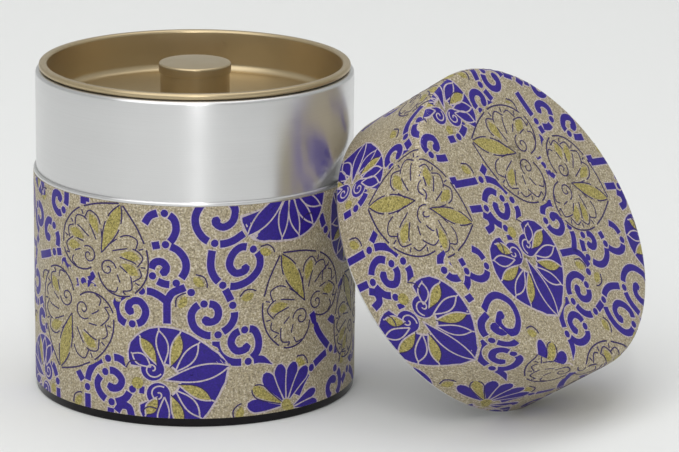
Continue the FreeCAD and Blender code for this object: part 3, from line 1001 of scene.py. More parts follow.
class Spray:
    """A leaf or flower laid from its hub to its tip, with its own width and height."""

    def __init__(self, hub, tip, wide=1.0):
        """Set the leaf's middle line, from its hub to its tip."""
        self.hub = Vector(hub)
        run = Vector(tip) - self.hub
        self.length = run.length
        self.up = run.normalized()
        self.side = Vector((self.up.y, -self.up.x)) * wide
        self.heading = math.degrees(math.atan2(self.up.y, self.up.x))

    def at(self, angle, reach):
        """The point at an angle from the tip, to the right, and a share of the edge's reach."""
        turn = math.radians(angle)
        far = self.length * reach
        return self.hub + self.side * (far * math.sin(turn)) + self.up * (far * math.cos(turn))

    def edge(self, low, high, share=1.0, spacing=0.5):
        """A smooth line along the edge between two angles."""
        steps = max(3, round(abs(high - low) / 9))
        angles = [low + (high - low) * k / steps for k in range(steps + 1)]
        return smooth_line([self.at(a, heart_reach(a) * share) for a in angles], spacing)


def petal_line(spray, angle, near, far, lean):
    """The middle line of a petal, from near the hub to near the edge, leaning as it goes."""
    reach = heart_reach(angle + lean)
    start = spray.at(angle - lean * 0.5, near)
    middle = spray.at(angle + lean * 0.35, (near + far * reach) / 2)
    end = spray.at(angle + lean, far * reach)
    return smooth_line([start, middle, end], 0.5)


def petal_width(half):
    """Half width along a petal: narrow at the hub, full beyond the middle, pointed."""
    return lambda share: half * math.sin(math.pi * min(0.985, share) ** 1.25) ** 0.8


def sides_of(line, width):
    """The two edge lines of a stroke."""
    left, right = [], []
    for number, point in enumerate(line):
        before = line[max(0, number - 1)]
        after = line[min(len(line) - 1, number + 1)]
        across = Vector((before[1] - after[1], after[0] - before[0])).normalized()
        half = width(number / (len(line) - 1))
        left.append(Vector(point) + across * half)
        right.append(Vector(point) - across * half)
    return left, right


def thin(drawing, layer, line, half, breaks=()):
    """A thin line, broken at the given shares of its length."""
    last = len(line) - 1
    part = []
    for number, point in enumerate(line):
        share = number / last
        if any(abs(share - gap) * last < 1.0 for gap in breaks):
            if len(part) > 2:
                drawing.stroke(layer, part)
            part = []
        else:
            part.append((point[0], point[1], half))
    if len(part) > 2:
        drawing.stroke(layer, part)


def heart_fill(spray, share, inner, widest, lowest=None):
    """The heart, from its lowest to its widest angle, as one stroke swept round its hub."""
    stroke = []
    lowest = -widest if lowest is None else lowest
    for number in range(HEART_STEPS + 1):
        angle = lowest + (widest - lowest) * number / HEART_STEPS
        outer = heart_reach(angle) * share
        point = spray.at(angle, (outer + inner) / 2)
        stroke.append((point.x, point.y, spray.length * max(0.05, outer - inner) / 2))
    return stroke


def petal_points(spray, low, high, near, lean):
    """One side of a petal and its round tip, as an open line."""
    far = 0.9
    reach = heart_reach((low + high) / 2 + lean)
    return smooth_line([
        spray.at(low - lean, near), spray.at(low + lean * 0.2, (near + far * reach) * 0.52),
        spray.at(low + lean, far * reach * 0.9),
        spray.at((low + high) / 2 + lean, far * reach),
        spray.at(high + lean, far * reach * 0.88)], 0.4)


def leaf_curl(drawing, spray, side, half):
    """The small spiral beside a leaf's hub, running out into the leaf's outline."""
    curl = spray.at(side * 104, 0.2)
    size = spray.length * 0.15
    line = spiral_line(curl.x, curl.y, size, 0.3, spray.heading - side * 60, side * 470, 1.0, 0.3)
    thin(drawing, "leaf_lines", line, half)


def leaf_side(drawing, spray, side, filled):
    """One half of a leaf: its outline, its curl and its side petals."""
    half = bpy.context.scene.caddy_print.line / MM
    thin(drawing, "leaf_lines", spray.edge(side * 2, side * 160), half * 1.2, (0.3, 0.66))
    leaf_curl(drawing, spray, side, half)
    step = LEAF_SPREAD / LEAF_PETALS
    lean = side * PETAL_LEAN
    for number in range(LEAF_PETALS):
        low = side * (LEAF_FIRST + number * step)
        high = low + side * step
        if (number + (side > 0)) % 3 in filled and number < LEAF_PETALS - 1:
            line = petal_line(spray, (low + high) / 2, 0.4, 0.84, lean)
            drawing.stroke("petals", with_width(line, petal_width(spray.length * 0.075)))
        near = 0.3 if number < 2 else 0.38
        thin(drawing, "leaf_lines", petal_points(spray, low, high, near, lean), half,
             (0.3 + 0.1 * (number % 3),))
        if number:
            angle = low + lean
            reach = heart_reach(angle)
            tick = [spray.at(angle, reach * share) for share in (0.86, 0.9, 0.95)]
            thin(drawing, "leaf_lines", smooth_line(tick, 0.3), half)


def outlined_leaf(drawing, hub, tip, wide, filled):
    """A heart-shaped leaf drawn in thin broken lines, some of its petals mustard."""
    spray = Spray(hub, tip, wide)
    half = bpy.context.scene.caddy_print.line / MM
    drawing.stroke("grounds", heart_fill(spray, 1.02, 0.02, 148))
    lens = petal_line(spray, 0, 0.12, 0.97, 0)
    lens_width = petal_width(spray.length * 0.13)
    drawing.stroke("petals", with_width(lens, lambda t: lens_width(t) * 0.8))
    for line in sides_of(lens, lens_width):
        thin(drawing, "leaf_lines", line, half, (0.62,))
    for side in (-1, 1):
        leaf_side(drawing, spray, side, filled)


def fan_flower(drawing, hub, length, low, high, petals, filled=()):
    """Rounded blue petals spread round a mustard hub, each with its own pale line."""
    spray = Spray(hub, (hub[0], hub[1] + length))
    step = (high - low) / petals
    broad = length * math.radians(step) * 0.4

    def width(share):
        """Half the petal's width: narrow at the hub, full near its round tip."""
        swell = min(1.0, 0.16 + share * 1.15)
        return broad * swell * math.sqrt(max(0.02, 1 - max(0.0, (share - 0.72) / 0.3) ** 2))

    for number in range(petals):
        angle = low + (number + 0.5) * step
        line = smooth_line([spray.at(angle - 3, 0.16), spray.at(angle, 0.6),
                            spray.at(angle + 3, 1.0)], 0.45)
        if number in filled:
            drawing.stroke("petals", with_width(line, lambda t: width(t) * 0.7))
            for edge in sides_of(line, width):
                thin(drawing, "leaf_lines", edge, 0.15)
        else:
            drawing.blue(with_width(line, width))
            for edge in sides_of(line, width):
                thin(drawing, "flower_lines", edge, 0.13)
    drawing.stroke("flecks", disc(hub[0], hub[1], length * 0.13))


def flower_petal(drawing, spray, side, number, petals, spread, inner, filled):
    """One side petal of a flower, mustard or blue, between its lines."""
    half = bpy.context.scene.caddy_print.line / MM
    angle = side * (FLOWER_FIRST + number * spread / petals)
    line = petal_line(spray, angle, inner - 0.04, 0.95, side * PETAL_LEAN)
    width = petal_width(spray.length * 0.43 / petals)
    left, right = sides_of(line, width)
    if (number + (side > 0)) % 4 in filled:
        drawing.stroke("petals", with_width(line, lambda t: width(t) * 0.95))
        thin(drawing, "leaf_lines", left if side > 0 else right, half * 0.9)
        thin(drawing, "flower_lines", right if side > 0 else left, half * 1.15)
    else:
        thin(drawing, "flower_lines", left, half * 1.15)
        thin(drawing, "flower_lines", right, half * 1.15)
    tip_angle = side * (FLOWER_FIRST + number * spread / petals + PETAL_LEAN)
    reach = heart_reach(tip_angle)
    stalk = [spray.at(tip_angle, reach * share) for share in (0.93, 0.97, 1.01)]
    thin(drawing, "flower_lines", smooth_line(stalk, 0.3), half * 1.15)


def flower_curl(drawing, spray, side):
    """The blue disc with a pale spiral beside a flower's hub."""
    half = bpy.context.scene.caddy_print.line / MM
    curl = spray.at(side * 112, 0.22)
    size = spray.length * 0.175
    drawing.stroke("flower_edges", disc(curl.x, curl.y, size + 0.3))
    drawing.stroke("flowers", disc(curl.x, curl.y, size))
    line = spiral_line(curl.x, curl.y, size * 0.82, 0.3, spray.heading + side * 40, side * 420,
                       0.8, 0.35)
    thin(drawing, "flower_lines", line, half * 1.1)


def blue_flower(drawing, hub, tip, wide, filled=(), *, petals=5, spread=112, open_hub=True,
                sides=(-1, 1)):
    """A flower in the same shape: blue, parted by pale lines, with a few mustard petals.

    An open hub has a curl on each side and a mustard fleck behind it.
    """
    spray = Spray(hub, tip, wide)
    half = bpy.context.scene.caddy_print.line / MM
    inner = 0.3 if open_hub else 0.14
    widest = FLOWER_FIRST + spread - 112 / petals * 0.2
    low = -widest if -1 in sides else -9
    high = widest if 1 in sides else 9
    drawing.stroke("grounds", heart_fill(spray, 1.05, 0.02, high + 4, low - 4))
    drawing.stroke("flower_edges", heart_fill(spray, 1.035, inner - 0.03, high + 2, low - 2))
    drawing.stroke("flowers", heart_fill(spray, 1.0, inner, high, low))
    lens = petal_line(spray, 0, 0.06, 1.02, 0)
    lens_width = petal_width(spray.length * 0.12)
    drawing.stroke("flowers", with_width(lens, lens_width))
    for line in sides_of(lens, lens_width):
        thin(drawing, "flower_lines", line, half * 1.15)
    for side in sides:
        for number in range(petals):
            flower_petal(drawing, spray, side, number, petals, spread, inner, filled)
        if open_hub:
            flower_curl(drawing, spray, side)
    if open_hub:
        blob = spray.at(184, 0.36)
        drawing.stroke("flecks", disc(blob.x, blob.y, spray.length * 0.09))


def accent(drawing, x, y, angle):
    """A mustard fleck with a short dark arc over it."""
    size = 1.6
    turn = math.radians(angle)
    along = Vector((math.cos(turn), math.sin(turn)))
    across = Vector((-along.y, along.x))
    spot = Vector((x, y))
    fleck = smooth_line([spot - along * size, spot - across * 0.2, spot + along * size], 0.4)
    drawing.stroke("flecks", with_width(
        fleck, lambda t: size * 0.62 * math.sin(math.pi * min(0.98, t)) ** 0.6))
    arc = [spot - along * size * 1.1 + across * 0.7, spot + across * size,
           spot + along * size + across * 1.1, spot + along * size * 1.5 + across * 0.3]
    thin(drawing, "leaf_lines", smooth_line(arc, 0.4), 0.16)


def draw_upper_vines(art):
    """The vines of the sheet's upper half, near its middle."""
    stem(art, [(-10.4, 49.2), (-9.0, 51.2), (-6.2, 52.0), (-3.6, 50.8), (-2.9, 48.2),
               (-3.9, 45.6), (-5.4, 44.4)], [(-5.8, 52.0), (-5.4, 44.4)])
    stem(art, [(-8.6, 43.9), (-6.8, 44.3)])
    stem(art, [(-5.4, 44.4), (-2.6, 43.2), (-0.8, 40.8), (-0.8, 38.0), (-2.9, 35.2),
               (-5.6, 34.9), (-8.2, 36.2), (-8.8, 38.4), (-7.9, 40.0), (-6.3, 40.2),
               (-5.2, 39.0), (-5.7, 37.8), (-6.8, 37.8)],
         [(-5.4, 44.4), (-2.9, 35.1), (-8.4, 36.7)], "knob")
    stem(art, [(13.1, 46.8), (10.4, 45.2), (8.0, 44.6), (6.1, 44.8), (3.6, 46.0), (1.8, 48.8),
               (1.8, 52.0), (4.2, 55.2), (8.0, 55.6), (10.8, 53.2), (10.4, 50.0), (8.2, 48.6),
               (6.4, 49.6), (6.8, 51.2)], [(6.1, 44.8)], "knob")
    stem(art, [(6.1, 44.8), (5.4, 42.4), (5.2, 39.0), (6.2, 36.4), (8.0, 34.6)],
         [(6.1, 44.8), (8.0, 34.6)])
    stem(art, [(8.0, 34.6), (11.0, 34.2), (14.4, 35.4), (16.8, 38.0), (17.0, 40.8),
               (15.4, 42.8), (12.6, 43.6), (10.4, 42.0), (9.6, 39.4), (11.0, 37.4),
               (13.2, 37.8), (13.6, 39.4)], [(8.0, 34.6), (15.4, 42.7)], "knob")
    stem(art, [(-33.0, 54.0), (-33.2, 51.0), (-34.3, 49.0), (-36.4, 47.9), (-38.6, 49.6),
               (-38.2, 52.2), (-36.2, 52.4), (-35.6, 50.6)], [(-34.3, 49.0)], "knob")
    stem(art, [(-27.2, 51.8), (-27.2, 54.0)])
    stem(art, [(35.2, 48.2), (37.2, 44.2), (41.6, 40.8)], [(37.2, 44.2)])


def draw_middle_vines(art):
    """The vines across the sheet's middle."""
    stem(art, [(-5.1, 25.3), (-5.1, 30.6)])
    stem(art, [(-5.1, 30.6), (-3.8, 32.8), (-0.8, 34.2)])
    art.blue(disc(0.6, 33.0, 0.92))
    stem(art, [(-5.1, 30.6), (-6.6, 31.8), (-8.8, 32.8), (-11.2, 32.8), (-14.6, 31.9),
               (-17.4, 30.0), (-17.6, 26.8), (-15.8, 24.8), (-13.6, 24.6), (-11.2, 25.4),
               (-10.2, 28.0), (-11.6, 30.2), (-13.8, 30.0), (-14.6, 28.2), (-13.2, 27.2)],
         [(-11.2, 32.8), (-13.6, 24.8)], "knob")
    stem(art, [(8.0, 34.6), (9.2, 32.4), (10.4, 29.6), (10.8, 26.8), (9.6, 24.4), (6.9, 22.6)],
         [(8.0, 34.6), (10.4, 29.6), (6.9, 22.6)])
    stem(art, [(6.9, 22.6), (4.0, 22.6), (1.4, 24.4), (0.6, 27.4), (1.8, 29.6), (3.6, 30.2),
               (6.0, 29.9), (7.0, 28.2), (6.4, 26.2), (4.4, 25.8), (3.8, 27.2)],
         [(6.9, 22.6), (3.6, 30.2)], "knob")
    stem(art, [(-46.6, 35.2), (-42.6, 36.4), (-38.6, 37.8), (-35.4, 38.6)], [(-38.6, 37.8)])
    stem(art, [(-37.0, 39.6), (-36.8, 42.0), (-38.6, 44.3), (-41.4, 45.0), (-43.0, 43.0),
               (-42.4, 40.8), (-40.4, 41.2)], [(-38.8, 44.2)], "knob")
    stem(art, [(-32.4, 32.8), (-32.0, 35.2), (-33.6, 36.6), (-35.0, 35.6)], (), "knob")
    stem(art, [(-31.4, 32.0), (-27.3, 33.0), (-23.8, 35.2)], [(-27.3, 33.0)])
    stem(art, [(-26.0, 32.7), (-22.8, 32.6)], (), "point")
    stem(art, [(32.2, 24.8), (34.6, 19.6), (38.6, 15.2), (41.4, 13.6), (46.0, 13.4)],
         [(39.4, 14.3)])
    stem(art, [(37.6, 23.4), (41.0, 21.0), (45.6, 20.4)])


def draw_lower_vines(art):
    """The vines of the sheet's lower half."""
    stem(art, [(6.9, 22.6), (6.4, 20.4), (7.4, 17.6), (10.2, 15.8), (14.2, 15.6), (17.4, 15.8),
               (20.4, 14.2)], [(6.9, 22.6), (14.2, 15.6)], "point")
    stem(art, [(14.2, 15.6), (16.4, 17.8), (16.8, 20.6), (15.6, 23.2), (13.3, 23.4),
               (10.9, 22.6), (10.0, 20.4), (11.4, 18.4), (13.6, 18.8), (13.8, 20.2)],
         [(14.2, 15.6), (13.3, 23.1)], "knob")
    stem(art, [(-10.6, 8.6), (-13.6, 8.6), (-15.6, 6.0), (-19.2, 4.7), (-22.2, 6.2),
               (-23.2, 9.0), (-20.9, 11.9), (-18.4, 12.4), (-16.4, 10.6), (-17.2, 8.6),
               (-19.2, 8.2), (-19.8, 9.4)],
         [(-13.6, 8.6), (-19.2, 4.7), (-20.9, 11.9)], "knob")
    stem(art, [(-14.9, 14.6), (-17.4, 15.8), (-20.1, 15.3), (-23.6, 13.8), (-25.8, 10.6),
               (-26.3, 7.2), (-26.2, 4.0), (-26.2, -3.0)], [(-20.1, 15.3), (-26.3, 7.2)])
    stem(art, [(-30.0, 11.4), (-27.8, 8.6)])
    stem(art, [(-19.4, 3.2), (-19.6, -1.0)])
    stem(art, [(-17.8, 2.6), (-16.6, 4.2), (-14.6, 4.0), (-13.8, 1.6)])
    stem(art, [(-37.2, 2.0), (-37.6, 6.0), (-39.4, 9.2), (-41.2, 9.8), (-44.0, 8.0)],
         [(-37.7, 5.8), (-41.0, 9.8)])
    stem(art, [(39.4, 14.3), (36.0, 13.2), (32.2, 11.2), (29.4, 8.4), (27.6, 5.4)],
         [(39.4, 14.3), (32.2, 11.2)])


def draw_back_vines(art):
    """The vines of the sheet beyond both leaves."""
    scroll(art, -47.4, 44.6, 4.0, -100, -440, (130,))
    stem(art, [(-48.6, 39.2), (-51.6, 36.6), (-56.0, 36.8), (-59.2, 40.0)], [(-51.6, 36.6)])
    scroll(art, -57.0, 47.4, 4.6, -70, 450, (0, 150))
    scroll(art, -50.6, 28.2, 4.4, 100, 430, (120,))
    stem(art, [(-51.8, 33.4), (-50.8, 36.0)])
    scroll(art, -46.0, 19.6, 3.8, 80, -430, (110,))
    stem(art, [(-45.6, 24.4), (-49.8, 22.6), (-54.2, 22.6), (-58.6, 25.6)], [(-49.8, 22.6)])
    scroll(art, -58.4, 30.6, 3.6, -80, -400, ())
    stem(art, [(45.4, 30.0), (43.0, 27.6), (42.6, 25.0)])
    scroll(art, 40.8, 4.8, 4.4, 110, -450, (40, 180))
    stem(art, [(45.6, 4.4), (49.2, 6.6), (53.0, 5.0), (56.4, 1.4)], [(49.2, 6.6)])
    scroll(art, 53.4, 11.4, 3.4, 200, 420, (90,))
    scroll(art, 56.2, 33.6, 3.6, 110, 420, (100,))
    stem(art, [(44.6, 37.6), (48.4, 35.6), (52.2, 35.4)], [(48.4, 35.6)])


FLECKS = ((2.4, 35.6, -45), (-1.5, 30.6, 60), (14.0, 31.5, 20), (18.6, 42.0, -20),
          (28.6, 13.5, -30), (12.0, 3.0, 70), (-13.4, 14.0, 30), (-9.5, 3.0, 20),
          (-43.6, 30.4, 40), (37.4, 33.2, 60), (45.6, 10.4, 40), (-29.4, 3.4, 50),
          (-53.4, 17.8, 30), (30.4, 47.6, 30), (-44.0, 50.6, 40))


def draw_sheet():
    """One repeat of the print: X round from the body's front, Y up from the floor."""
    art = Drawing()
    outlined_leaf(art, (-22.5, 39.2), (-16.3, 53.4), 1.0, (0, 2))
    outlined_leaf(art, (-30.7, 26.4), (-36.2, 9.8), 0.9, (1,))
    outlined_leaf(art, (30.8, 26.6), (22.7, 41.0), 0.92, (1,))
    outlined_leaf(art, (53.4, 18.6), (46.4, 31.4), 1.0, (0, 2))
    blue_flower(art, (-6.6, 11.2), (9.2, 14.8), 0.95, (1, 3))
    blue_flower(art, (25.4, 1.6), (14.2, -9.1), 1.0, open_hub=False, sides=(-1,))
    fan_flower(art, (24.4, 3.6), 10.4, -98, 46, 6, (1,))
    fan_flower(art, (25.4, 2.4), 8.8, 56, 98, 2)
    blue_flower(art, (-44.0, 5.0), (-56.5, 7.5), 1.0, (2,), petals=4, spread=84)
    blue_flower(art, (50.6, 43.4), (40.6, 52.4), 0.95, (1, 3))
    draw_upper_vines(art)
    draw_middle_vines(art)
    draw_lower_vines(art)
    draw_back_vines(art)
    for fleck in FLECKS:
        accent(art, *fleck)
    return art


def turned(points, turn, shift):
    """A stroke's points turned about the sheet's zero and then shifted."""
    cosine, sine = math.cos(turn), math.sin(turn)
    return [(x * cosine - y * sine + shift[0], x * sine + y * cosine + shift[1], half)
            for x, y, half in points]


def rows_of(strokes, rows, keep, across=(0.0,), turn=0.0, hub=(0.0, 0.0), place=(0.0, 0.0)):
    """The repeats of one layer: rows up, columns across, turned about a hub and placed.

    A stroke stays where any of its points meets the test.
    """
    result = []
    for row in rows:
        for column in across:
            shift = (column - hub[0], row * REPEAT - hub[1])
            for level, points in strokes:
                moved = turned(turned(points, 0.0, shift), turn, place)
                if any(keep(x, y) for x, y, _ in moved):
                    result.append((level, moved))
    return result


# ------------------------------------------------------------------ wrapping the print


def make_nib(columns):
    """A flat pen, two units wide and two high, with its upper and lower side in columns."""
    curve = bpy.data.curves.new("nib", "CURVE")
    curve.dimensions = "3D"
    across = [2.0 * k / columns - 1.0 for k in range(columns + 1)]
    points = [(x, 0.1) for x in across] + [(x, -0.1) for x in reversed(across)]
    spline = curve.splines.new("POLY")
    spline.points.add(len(points) - 1)
    for point, (x, y) in zip(spline.points, points):
        point.co = (x, y, 0.0, 1.0)
    spline.use_cyclic_u = True
    worker = bpy.data.objects.new("nib", curve)
    bpy.context.scene.collection.objects.link(worker)
    return worker


def make_line_object(name, points):
    """A curve object with one straight-run spline, in metres."""
    curve = bpy.data.curves.new(name, "CURVE")
    curve.dimensions = "3D"
    spline = curve.splines.new("POLY")
    spline.points.add(len(points) - 1)
    for point, (radius, height) in zip(spline.points, points):
        point.co = (radius, 0.0, height, 1.0)
    worker = bpy.data.objects.new(name, curve)
    bpy.context.scene.collection.objects.link(worker)
    return worker


def flat_ink(strokes, columns):
    """One ink's strokes as a flat mesh of closed ribbons."""
    curve = bpy.data.curves.new("flat_ink", "CURVE")
    curve.dimensions = "3D"
    for level, points in strokes:
        spline = curve.splines.new("POLY")
        spline.points.add(len(points) - 1)
        for point, (x, y, half) in zip(spline.points, points):
            point.co = (x * MM, y * MM, level * STOREY * MM, 1.0)
            point.radius = half * MM
    worker = bpy.data.objects.new("flat_ink", curve)
    bpy.context.scene.collection.objects.link(worker)
    nib = make_nib(columns)
    mesh = run_tree(worker, shared("print_ribbons", make_ribbon_tree), {"Nib": nib})
    bpy.data.objects.remove(worker)
    bpy.data.objects.remove(nib)
    return mesh


def trimmed(mesh, low, high, folds=()):
    """Cut a flat print at the paper's two edges, close the cuts, and score it at the folds."""
    shape = bmesh.new()
    shape.from_mesh(mesh)
    for height in folds:
        cut_at(shape, whole(shape), (0.0, height, 0.0), (0.0, 1.0, 0.0))
    for height, outward in ((low, -1.0), (high, 1.0)):
        cut_at(shape, whole(shape), (0.0, height, 0.0), (0.0, outward, 0.0), remove=True)
        close_cuts(shape)
    split_large(shape)
    shape.to_mesh(mesh)
    shape.free()


def rounded_off(mesh, reach):
    """Cut a flat print along a circle round the middle and close the cuts."""
    shape = bmesh.new()
    shape.from_mesh(mesh)
    split_large(shape)
    beyond = [face for face in shape.faces
              if min(vert.co.to_2d().length for vert in face.verts) > reach + 0.4 * MM]
    bmesh.ops.delete(shape, geom=beyond, context="FACES")
    for facet in range(LID_FACETS):
        angle = 2 * math.pi * facet / LID_FACETS
        spoke = Vector((math.cos(angle), math.sin(angle), 0.0))
        near = [face for face in shape.faces
                if max(vert.co.dot(spoke) for vert in face.verts) > reach]
        if near:
            cut_at(shape, touching(near), spoke * reach, spoke, remove=True)
    bmesh.ops.dissolve_degenerate(shape, dist=2e-6, edges=shape.edges)
    close_cuts(shape)
    split_large(shape)
    shape.to_mesh(mesh)
    shape.free()


def refined(mesh, reach, longest):
    """Divide a flat print's faces that lie further out than a reach from the middle."""
    shape = bmesh.new()
    shape.from_mesh(mesh)
    split_large(shape)
    for _ in range(DIVISIONS):
        long_edges = [edge for edge in shape.edges if edge.calc_length() > longest
                      and max(vert.co.to_2d().length for vert in edge.verts) > reach]
        if not long_edges:
            break
        bmesh.ops.subdivide_edges(shape, edges=long_edges, cuts=1, use_grid_fill=True)
        split_large(shape)
    shape.to_mesh(mesh)
    shape.free()


def wrap_flat(mesh, outline, radius, order, turns, middle):
    """A flat print wrapped on the surface under an outline."""
    style = bpy.context.scene.caddy_print
    worker = bpy.data.objects.new("flat_print", mesh)
    bpy.context.scene.collection.objects.link(worker)
    made = run_tree(worker, shared("print_wrap", make_wrap_tree), {
        "Outline": outline, "Radius": radius, "Turns": turns, "From the middle": middle,
        "Lift": style.lift * (order + 1), "Level lift": style.level_lift,
        "Depth": style.depth})
    bpy.data.objects.remove(worker)
    return made


def ink_material(ink):
    """The material of an ink."""
    makers = {"ground": ("caddy_paper", make_paper), "pale": ("caddy_pale_ink", make_pale),
              "mustard": ("caddy_mustard_ink", make_mustard),
              "blue": ("caddy_blue_ink", make_blue), "dark": ("caddy_dark_ink", make_dark)}
    return shared(*makers[ink])


def joined(meshes, material):
    """Several meshes as one, with one material."""
    shape = bmesh.new()
    for mesh in meshes:
        shape.from_mesh(mesh)
    bmesh.ops.recalc_face_normals(shape, faces=shape.faces)
    for face in shape.faces:
        face.material_index = 0
    result = bpy.data.meshes.new("joined")
    result.materials.append(material)
    shape.to_mesh(result)
    shape.free()
    return result


def open_seam(mesh, half_gap):
    """Cut the print where the paper's two ends meet at the back."""
    shape = bmesh.new()
    shape.from_mesh(mesh)
    for side in (-1.0, 1.0):
        near = [face for face in shape.faces
                if face.calc_center_median().y > 0 and abs(face.calc_center_median().x) < 4 * MM]
        cut_at(shape, touching(near), (side * half_gap, 0.0, 0.0), (1.0, 0.0, 0.0))
    inside = [face for face in shape.faces if face.calc_center_median().y > 0
              and abs(face.calc_center_median().x) < half_gap]
    bmesh.ops.delete(shape, geom=inside, context="FACES")
    close_cuts(shape)
    bmesh.ops.recalc_face_normals(shape, faces=shape.faces)
    shape.to_mesh(mesh)
    shape.free()


def build_body_print():
    """Every layer of the print on the body's paper."""
    sizes = bpy.context.scene.caddy_sizes
    sheet = draw_sheet()
    low, high = sizes.foot_height + 0.04 * MM, sizes.paper_top - 0.06 * MM
    outline = make_line_object("body_line", [
        (sizes.body_radius, 0.0), (sizes.body_radius, sizes.paper_top)])
    for order, (layer, ink, columns) in enumerate(LAYERS):
        strokes = rows_of(sheet.strokes[layer], (-1, 0, 1),
                          lambda x, y: low < y * MM < high)
        flat = flat_ink(strokes, columns)
        trimmed(flat, low, high)
        wrapped = wrap_flat(flat, outline, sizes.body_radius, order, 2, False)
        mesh = joined([wrapped], ink_material(ink))
        open_seam(mesh, sizes.seam / 2 + 0.02 * MM)
        settle("body_" + layer, mesh, "tin", 40.0)
    bpy.data.objects.remove(outline)


def build_lid_print():
    """Every layer of the print on the outer lid's paper: its side, and its top as one disc."""
    sizes = bpy.context.scene.caddy_sizes
    radius = lid_radii()[2]
    place = lid_place()
    edge = sizes.lid_height - sizes.lid_dome
    corners = softened([(radius, sizes.paper_stop, 0), (radius, edge, sizes.shoulder),
                        (0.0, edge + sizes.lid_dome, 0)])
    points = divided(with_domes(corners), 2.0 * MM)
    outline = make_line_object("lid_line", points)
    folds = [0.0]
    for start, end in zip(points, points[1:]):
        folds.append(folds[-1] + math.dist(start, end))
    meeting = edge - sizes.paper_stop - sizes.shoulder * (1 - math.pi / 4)
    side_end = meeting - 0.03 * MM
    top_end = folds[-1] - meeting - 0.03 * MM
    sheet = draw_sheet()
    half_round = math.pi * radius / MM
    for order, (layer, ink, columns) in enumerate(LAYERS):
        strokes = sheet.strokes[layer]
        on_side = rows_of(strokes, (-1, 0), lambda x, y: 0.0 < y * MM < side_end,
                          (SIDE_SHIFT,))
        flat_side = flat_ink(on_side, columns)
        trimmed(flat_side, 0.08 * MM, side_end, [fold for fold in folds if 0 < fold < side_end])
        on_top = rows_of(strokes, (-1, 0, 1), lambda x, y: math.hypot(x, y) * MM < top_end,
                         (-half_round, 0.0, half_round), TOP_TURN, TOP_HUB, TOP_PLACE)
        flat_top = flat_ink(on_top, columns)
        rounded_off(flat_top, top_end)
        refined(flat_top, radius - sizes.shoulder - 0.5 * MM, 0.36 * MM)
        parts = [wrap_flat(flat_side, outline, radius, order, 2, False),
                 wrap_flat(flat_top, outline, radius, order, 1, True)]
        mesh = joined(parts, ink_material(ink))
        mesh.transform(place)
        settle("lid_" + layer, mesh, "outer_lid", 40.0)
    bpy.data.objects.remove(outline)


# ------------------------------------------------------------------ stage


def area_light(name, place, target, size, power, size_y=None):
    """A soft lamp at a place, aimed at a target."""
    lamp = bpy.data.lights.new(name, "AREA")
    lamp.shape = "RECTANGLE"
    lamp.size = size
    lamp.size_y = size_y or size
    lamp.energy = power
    worker = bpy.data.objects.new(name, lamp)
    worker.location = place
    worker.rotation_euler = (Vector(target) - Vector(place)).to_track_quat("-Z", "Y").to_euler()
    bpy.context.scene.collection.objects.link(worker)


def build_stage():
    """The floor with its backdrop, the soft lamps, the world and the camera."""
    scene = bpy.context.scene
    cove = turn_outline([
        (0.0, 0.0, 0), (3.4, 0.0, 1.2), (3.4, 2.6, 0), (3.45, 2.6, 0), (3.45, -0.05, 1.2),
        (0.0, -0.05, 0)], shared("caddy_stage", make_stage_paper), facets=96)
    cove.shade_smooth()
    floor = bpy.data.objects.new("stage_floor", cove)
    scene.collection.objects.link(floor)
    world = bpy.data.worlds.new("soft_world")
    world.use_nodes = True
    world.node_tree.nodes["Background"].inputs["Color"].default_value = (1.0, 1.0, 1.0, 1.0)
    world.node_tree.nodes["Background"].inputs["Strength"].default_value = WORLD_STRENGTH
    scene.world = world
    scene.view_settings.view_transform = "Standard"
    area_light("key_lamp", (-0.7, -1.1, 1.5), (0.02, 0.0, 0.03), 1.7, 12.5)
    area_light("front_lamp", (0.12, -1.6, 1.0), (0.0, 0.0, 0.05), 0.12, 7.0, size_y=1.5)
    area_light("top_lamp", (0.1, 0.3, 1.8), (0.02, 0.0, 0.0), 1.6, 9.0)
    build_camera()


def build_camera():
    """The camera, level across and looking a little down at the tin."""
    lens = bpy.data.cameras.new("camera")
    lens.lens = 201.1
    lens.sensor_width = 36.0
    lens.clip_start = 0.02
    lens.clip_end = 20.0
    camera = bpy.data.objects.new("camera", lens)
    down, roll = math.radians(CAMERA_DOWN), math.radians(CAMERA_ROLL)
    ahead = Vector((0.0, math.cos(down), -math.sin(down)))
    right = Vector((1.0, 0.0, 0.0))
    above = right.cross(ahead)
    across = right * math.cos(roll) + above * math.sin(roll)
    upward = above * math.cos(roll) - right * math.sin(roll)
    turn = Matrix((across, upward, -ahead)).transposed().to_4x4()
    camera.matrix_world = Matrix.Translation(CAMERA_PLACE) @ turn
    bpy.context.scene.collection.objects.link(camera)
    bpy.context.scene.camera = camera


# ------------------------------------------------------------------ operators and panel


class CADDY_OT_stage(bpy.types.Operator):
    """Make the floor, the lamps and the camera"""

    bl_idname = "caddy.stage"
    bl_label = "Stage"

    def execute(self, context):
        build_stage()
        return {"FINISHED"}


class CADDY_OT_tin(bpy.types.Operator):
    """Make the foot, the outer tube, its paper and the neck"""

    bl_idname = "caddy.tin"
    bl_label = "Tin"

    def execute(self, context):
        build_tin()
        return {"FINISHED"}


class CADDY_OT_inner_lid(bpy.types.Operator):
    """Make the dished inner lid and its knob"""

    bl_idname = "caddy.inner_lid"
    bl_label = "Inner lid"

    def execute(self, context):
        build_inner_lid()
        return {"FINISHED"}


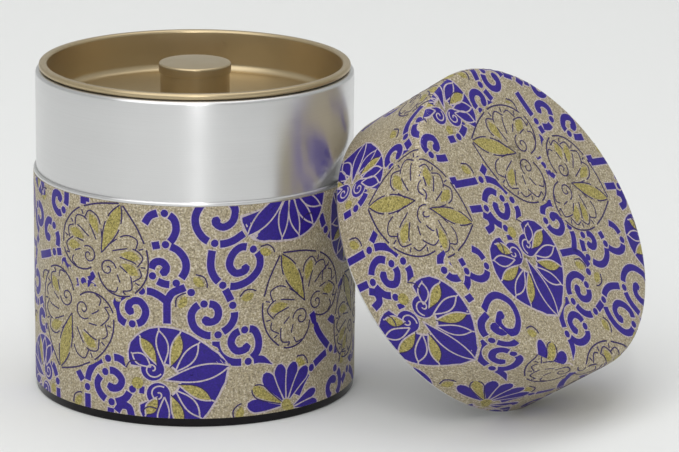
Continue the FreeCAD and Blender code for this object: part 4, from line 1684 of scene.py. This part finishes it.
class CADDY_OT_outer_lid(bpy.types.Operator):
    """Make the leaning outer lid and its paper"""

    bl_idname = "caddy.outer_lid"
    bl_label = "Outer lid"

    def execute(self, context):
        build_outer_lid()
        return {"FINISHED"}


class CADDY_OT_body_print(bpy.types.Operator):
    """Draw the print on the body"""

    bl_idname = "caddy.body_print"
    bl_label = "Body print"

    def execute(self, context):
        build_body_print()
        return {"FINISHED"}


class CADDY_OT_lid_print(bpy.types.Operator):
    """Draw the print on the outer lid"""

    bl_idname = "caddy.lid_print"
    bl_label = "Lid print"

    def execute(self, context):
        build_lid_print()
        return {"FINISHED"}


OPERATORS = (CADDY_OT_stage, CADDY_OT_tin, CADDY_OT_inner_lid, CADDY_OT_outer_lid,
             CADDY_OT_body_print, CADDY_OT_lid_print)


class CADDY_PT_panel(bpy.types.Panel):
    """The caddy's pieces, sizes and colours"""

    bl_label = "Caddy"
    bl_space_type = "VIEW_3D"
    bl_region_type = "UI"
    bl_category = "Caddy"

    def draw(self, context):
        for operator in OPERATORS:
            self.layout.operator(operator.bl_idname)
        for group in (context.scene.caddy_sizes, context.scene.caddy_print,
                      context.scene.caddy_colours):
            box = self.layout.box()
            for name in group.__annotations__:
                box.prop(group, name)


CLASSES = (CaddySizes, CaddyPrint, CaddyColours) + OPERATORS + (CADDY_PT_panel,)


def register():
    """Add the classes and the settings."""
    for kind in CLASSES:
        bpy.utils.register_class(kind)
    bpy.types.Scene.caddy_sizes = PointerProperty(type=CaddySizes)
    bpy.types.Scene.caddy_print = PointerProperty(type=CaddyPrint)
    bpy.types.Scene.caddy_colours = PointerProperty(type=CaddyColours)


def unregister():
    """Take the settings and the classes away."""
    del bpy.types.Scene.caddy_sizes
    del bpy.types.Scene.caddy_print
    del bpy.types.Scene.caddy_colours
    for kind in reversed(CLASSES):
        bpy.utils.unregister_class(kind)


def main():
    """Build everything in order."""
    register()
    bpy.ops.caddy.stage()
    bpy.ops.caddy.tin()
    bpy.ops.caddy.inner_lid()
    bpy.ops.caddy.outer_lid()
    bpy.ops.caddy.body_print()
    bpy.ops.caddy.lid_print()


if __name__ == "__main__":
    main()
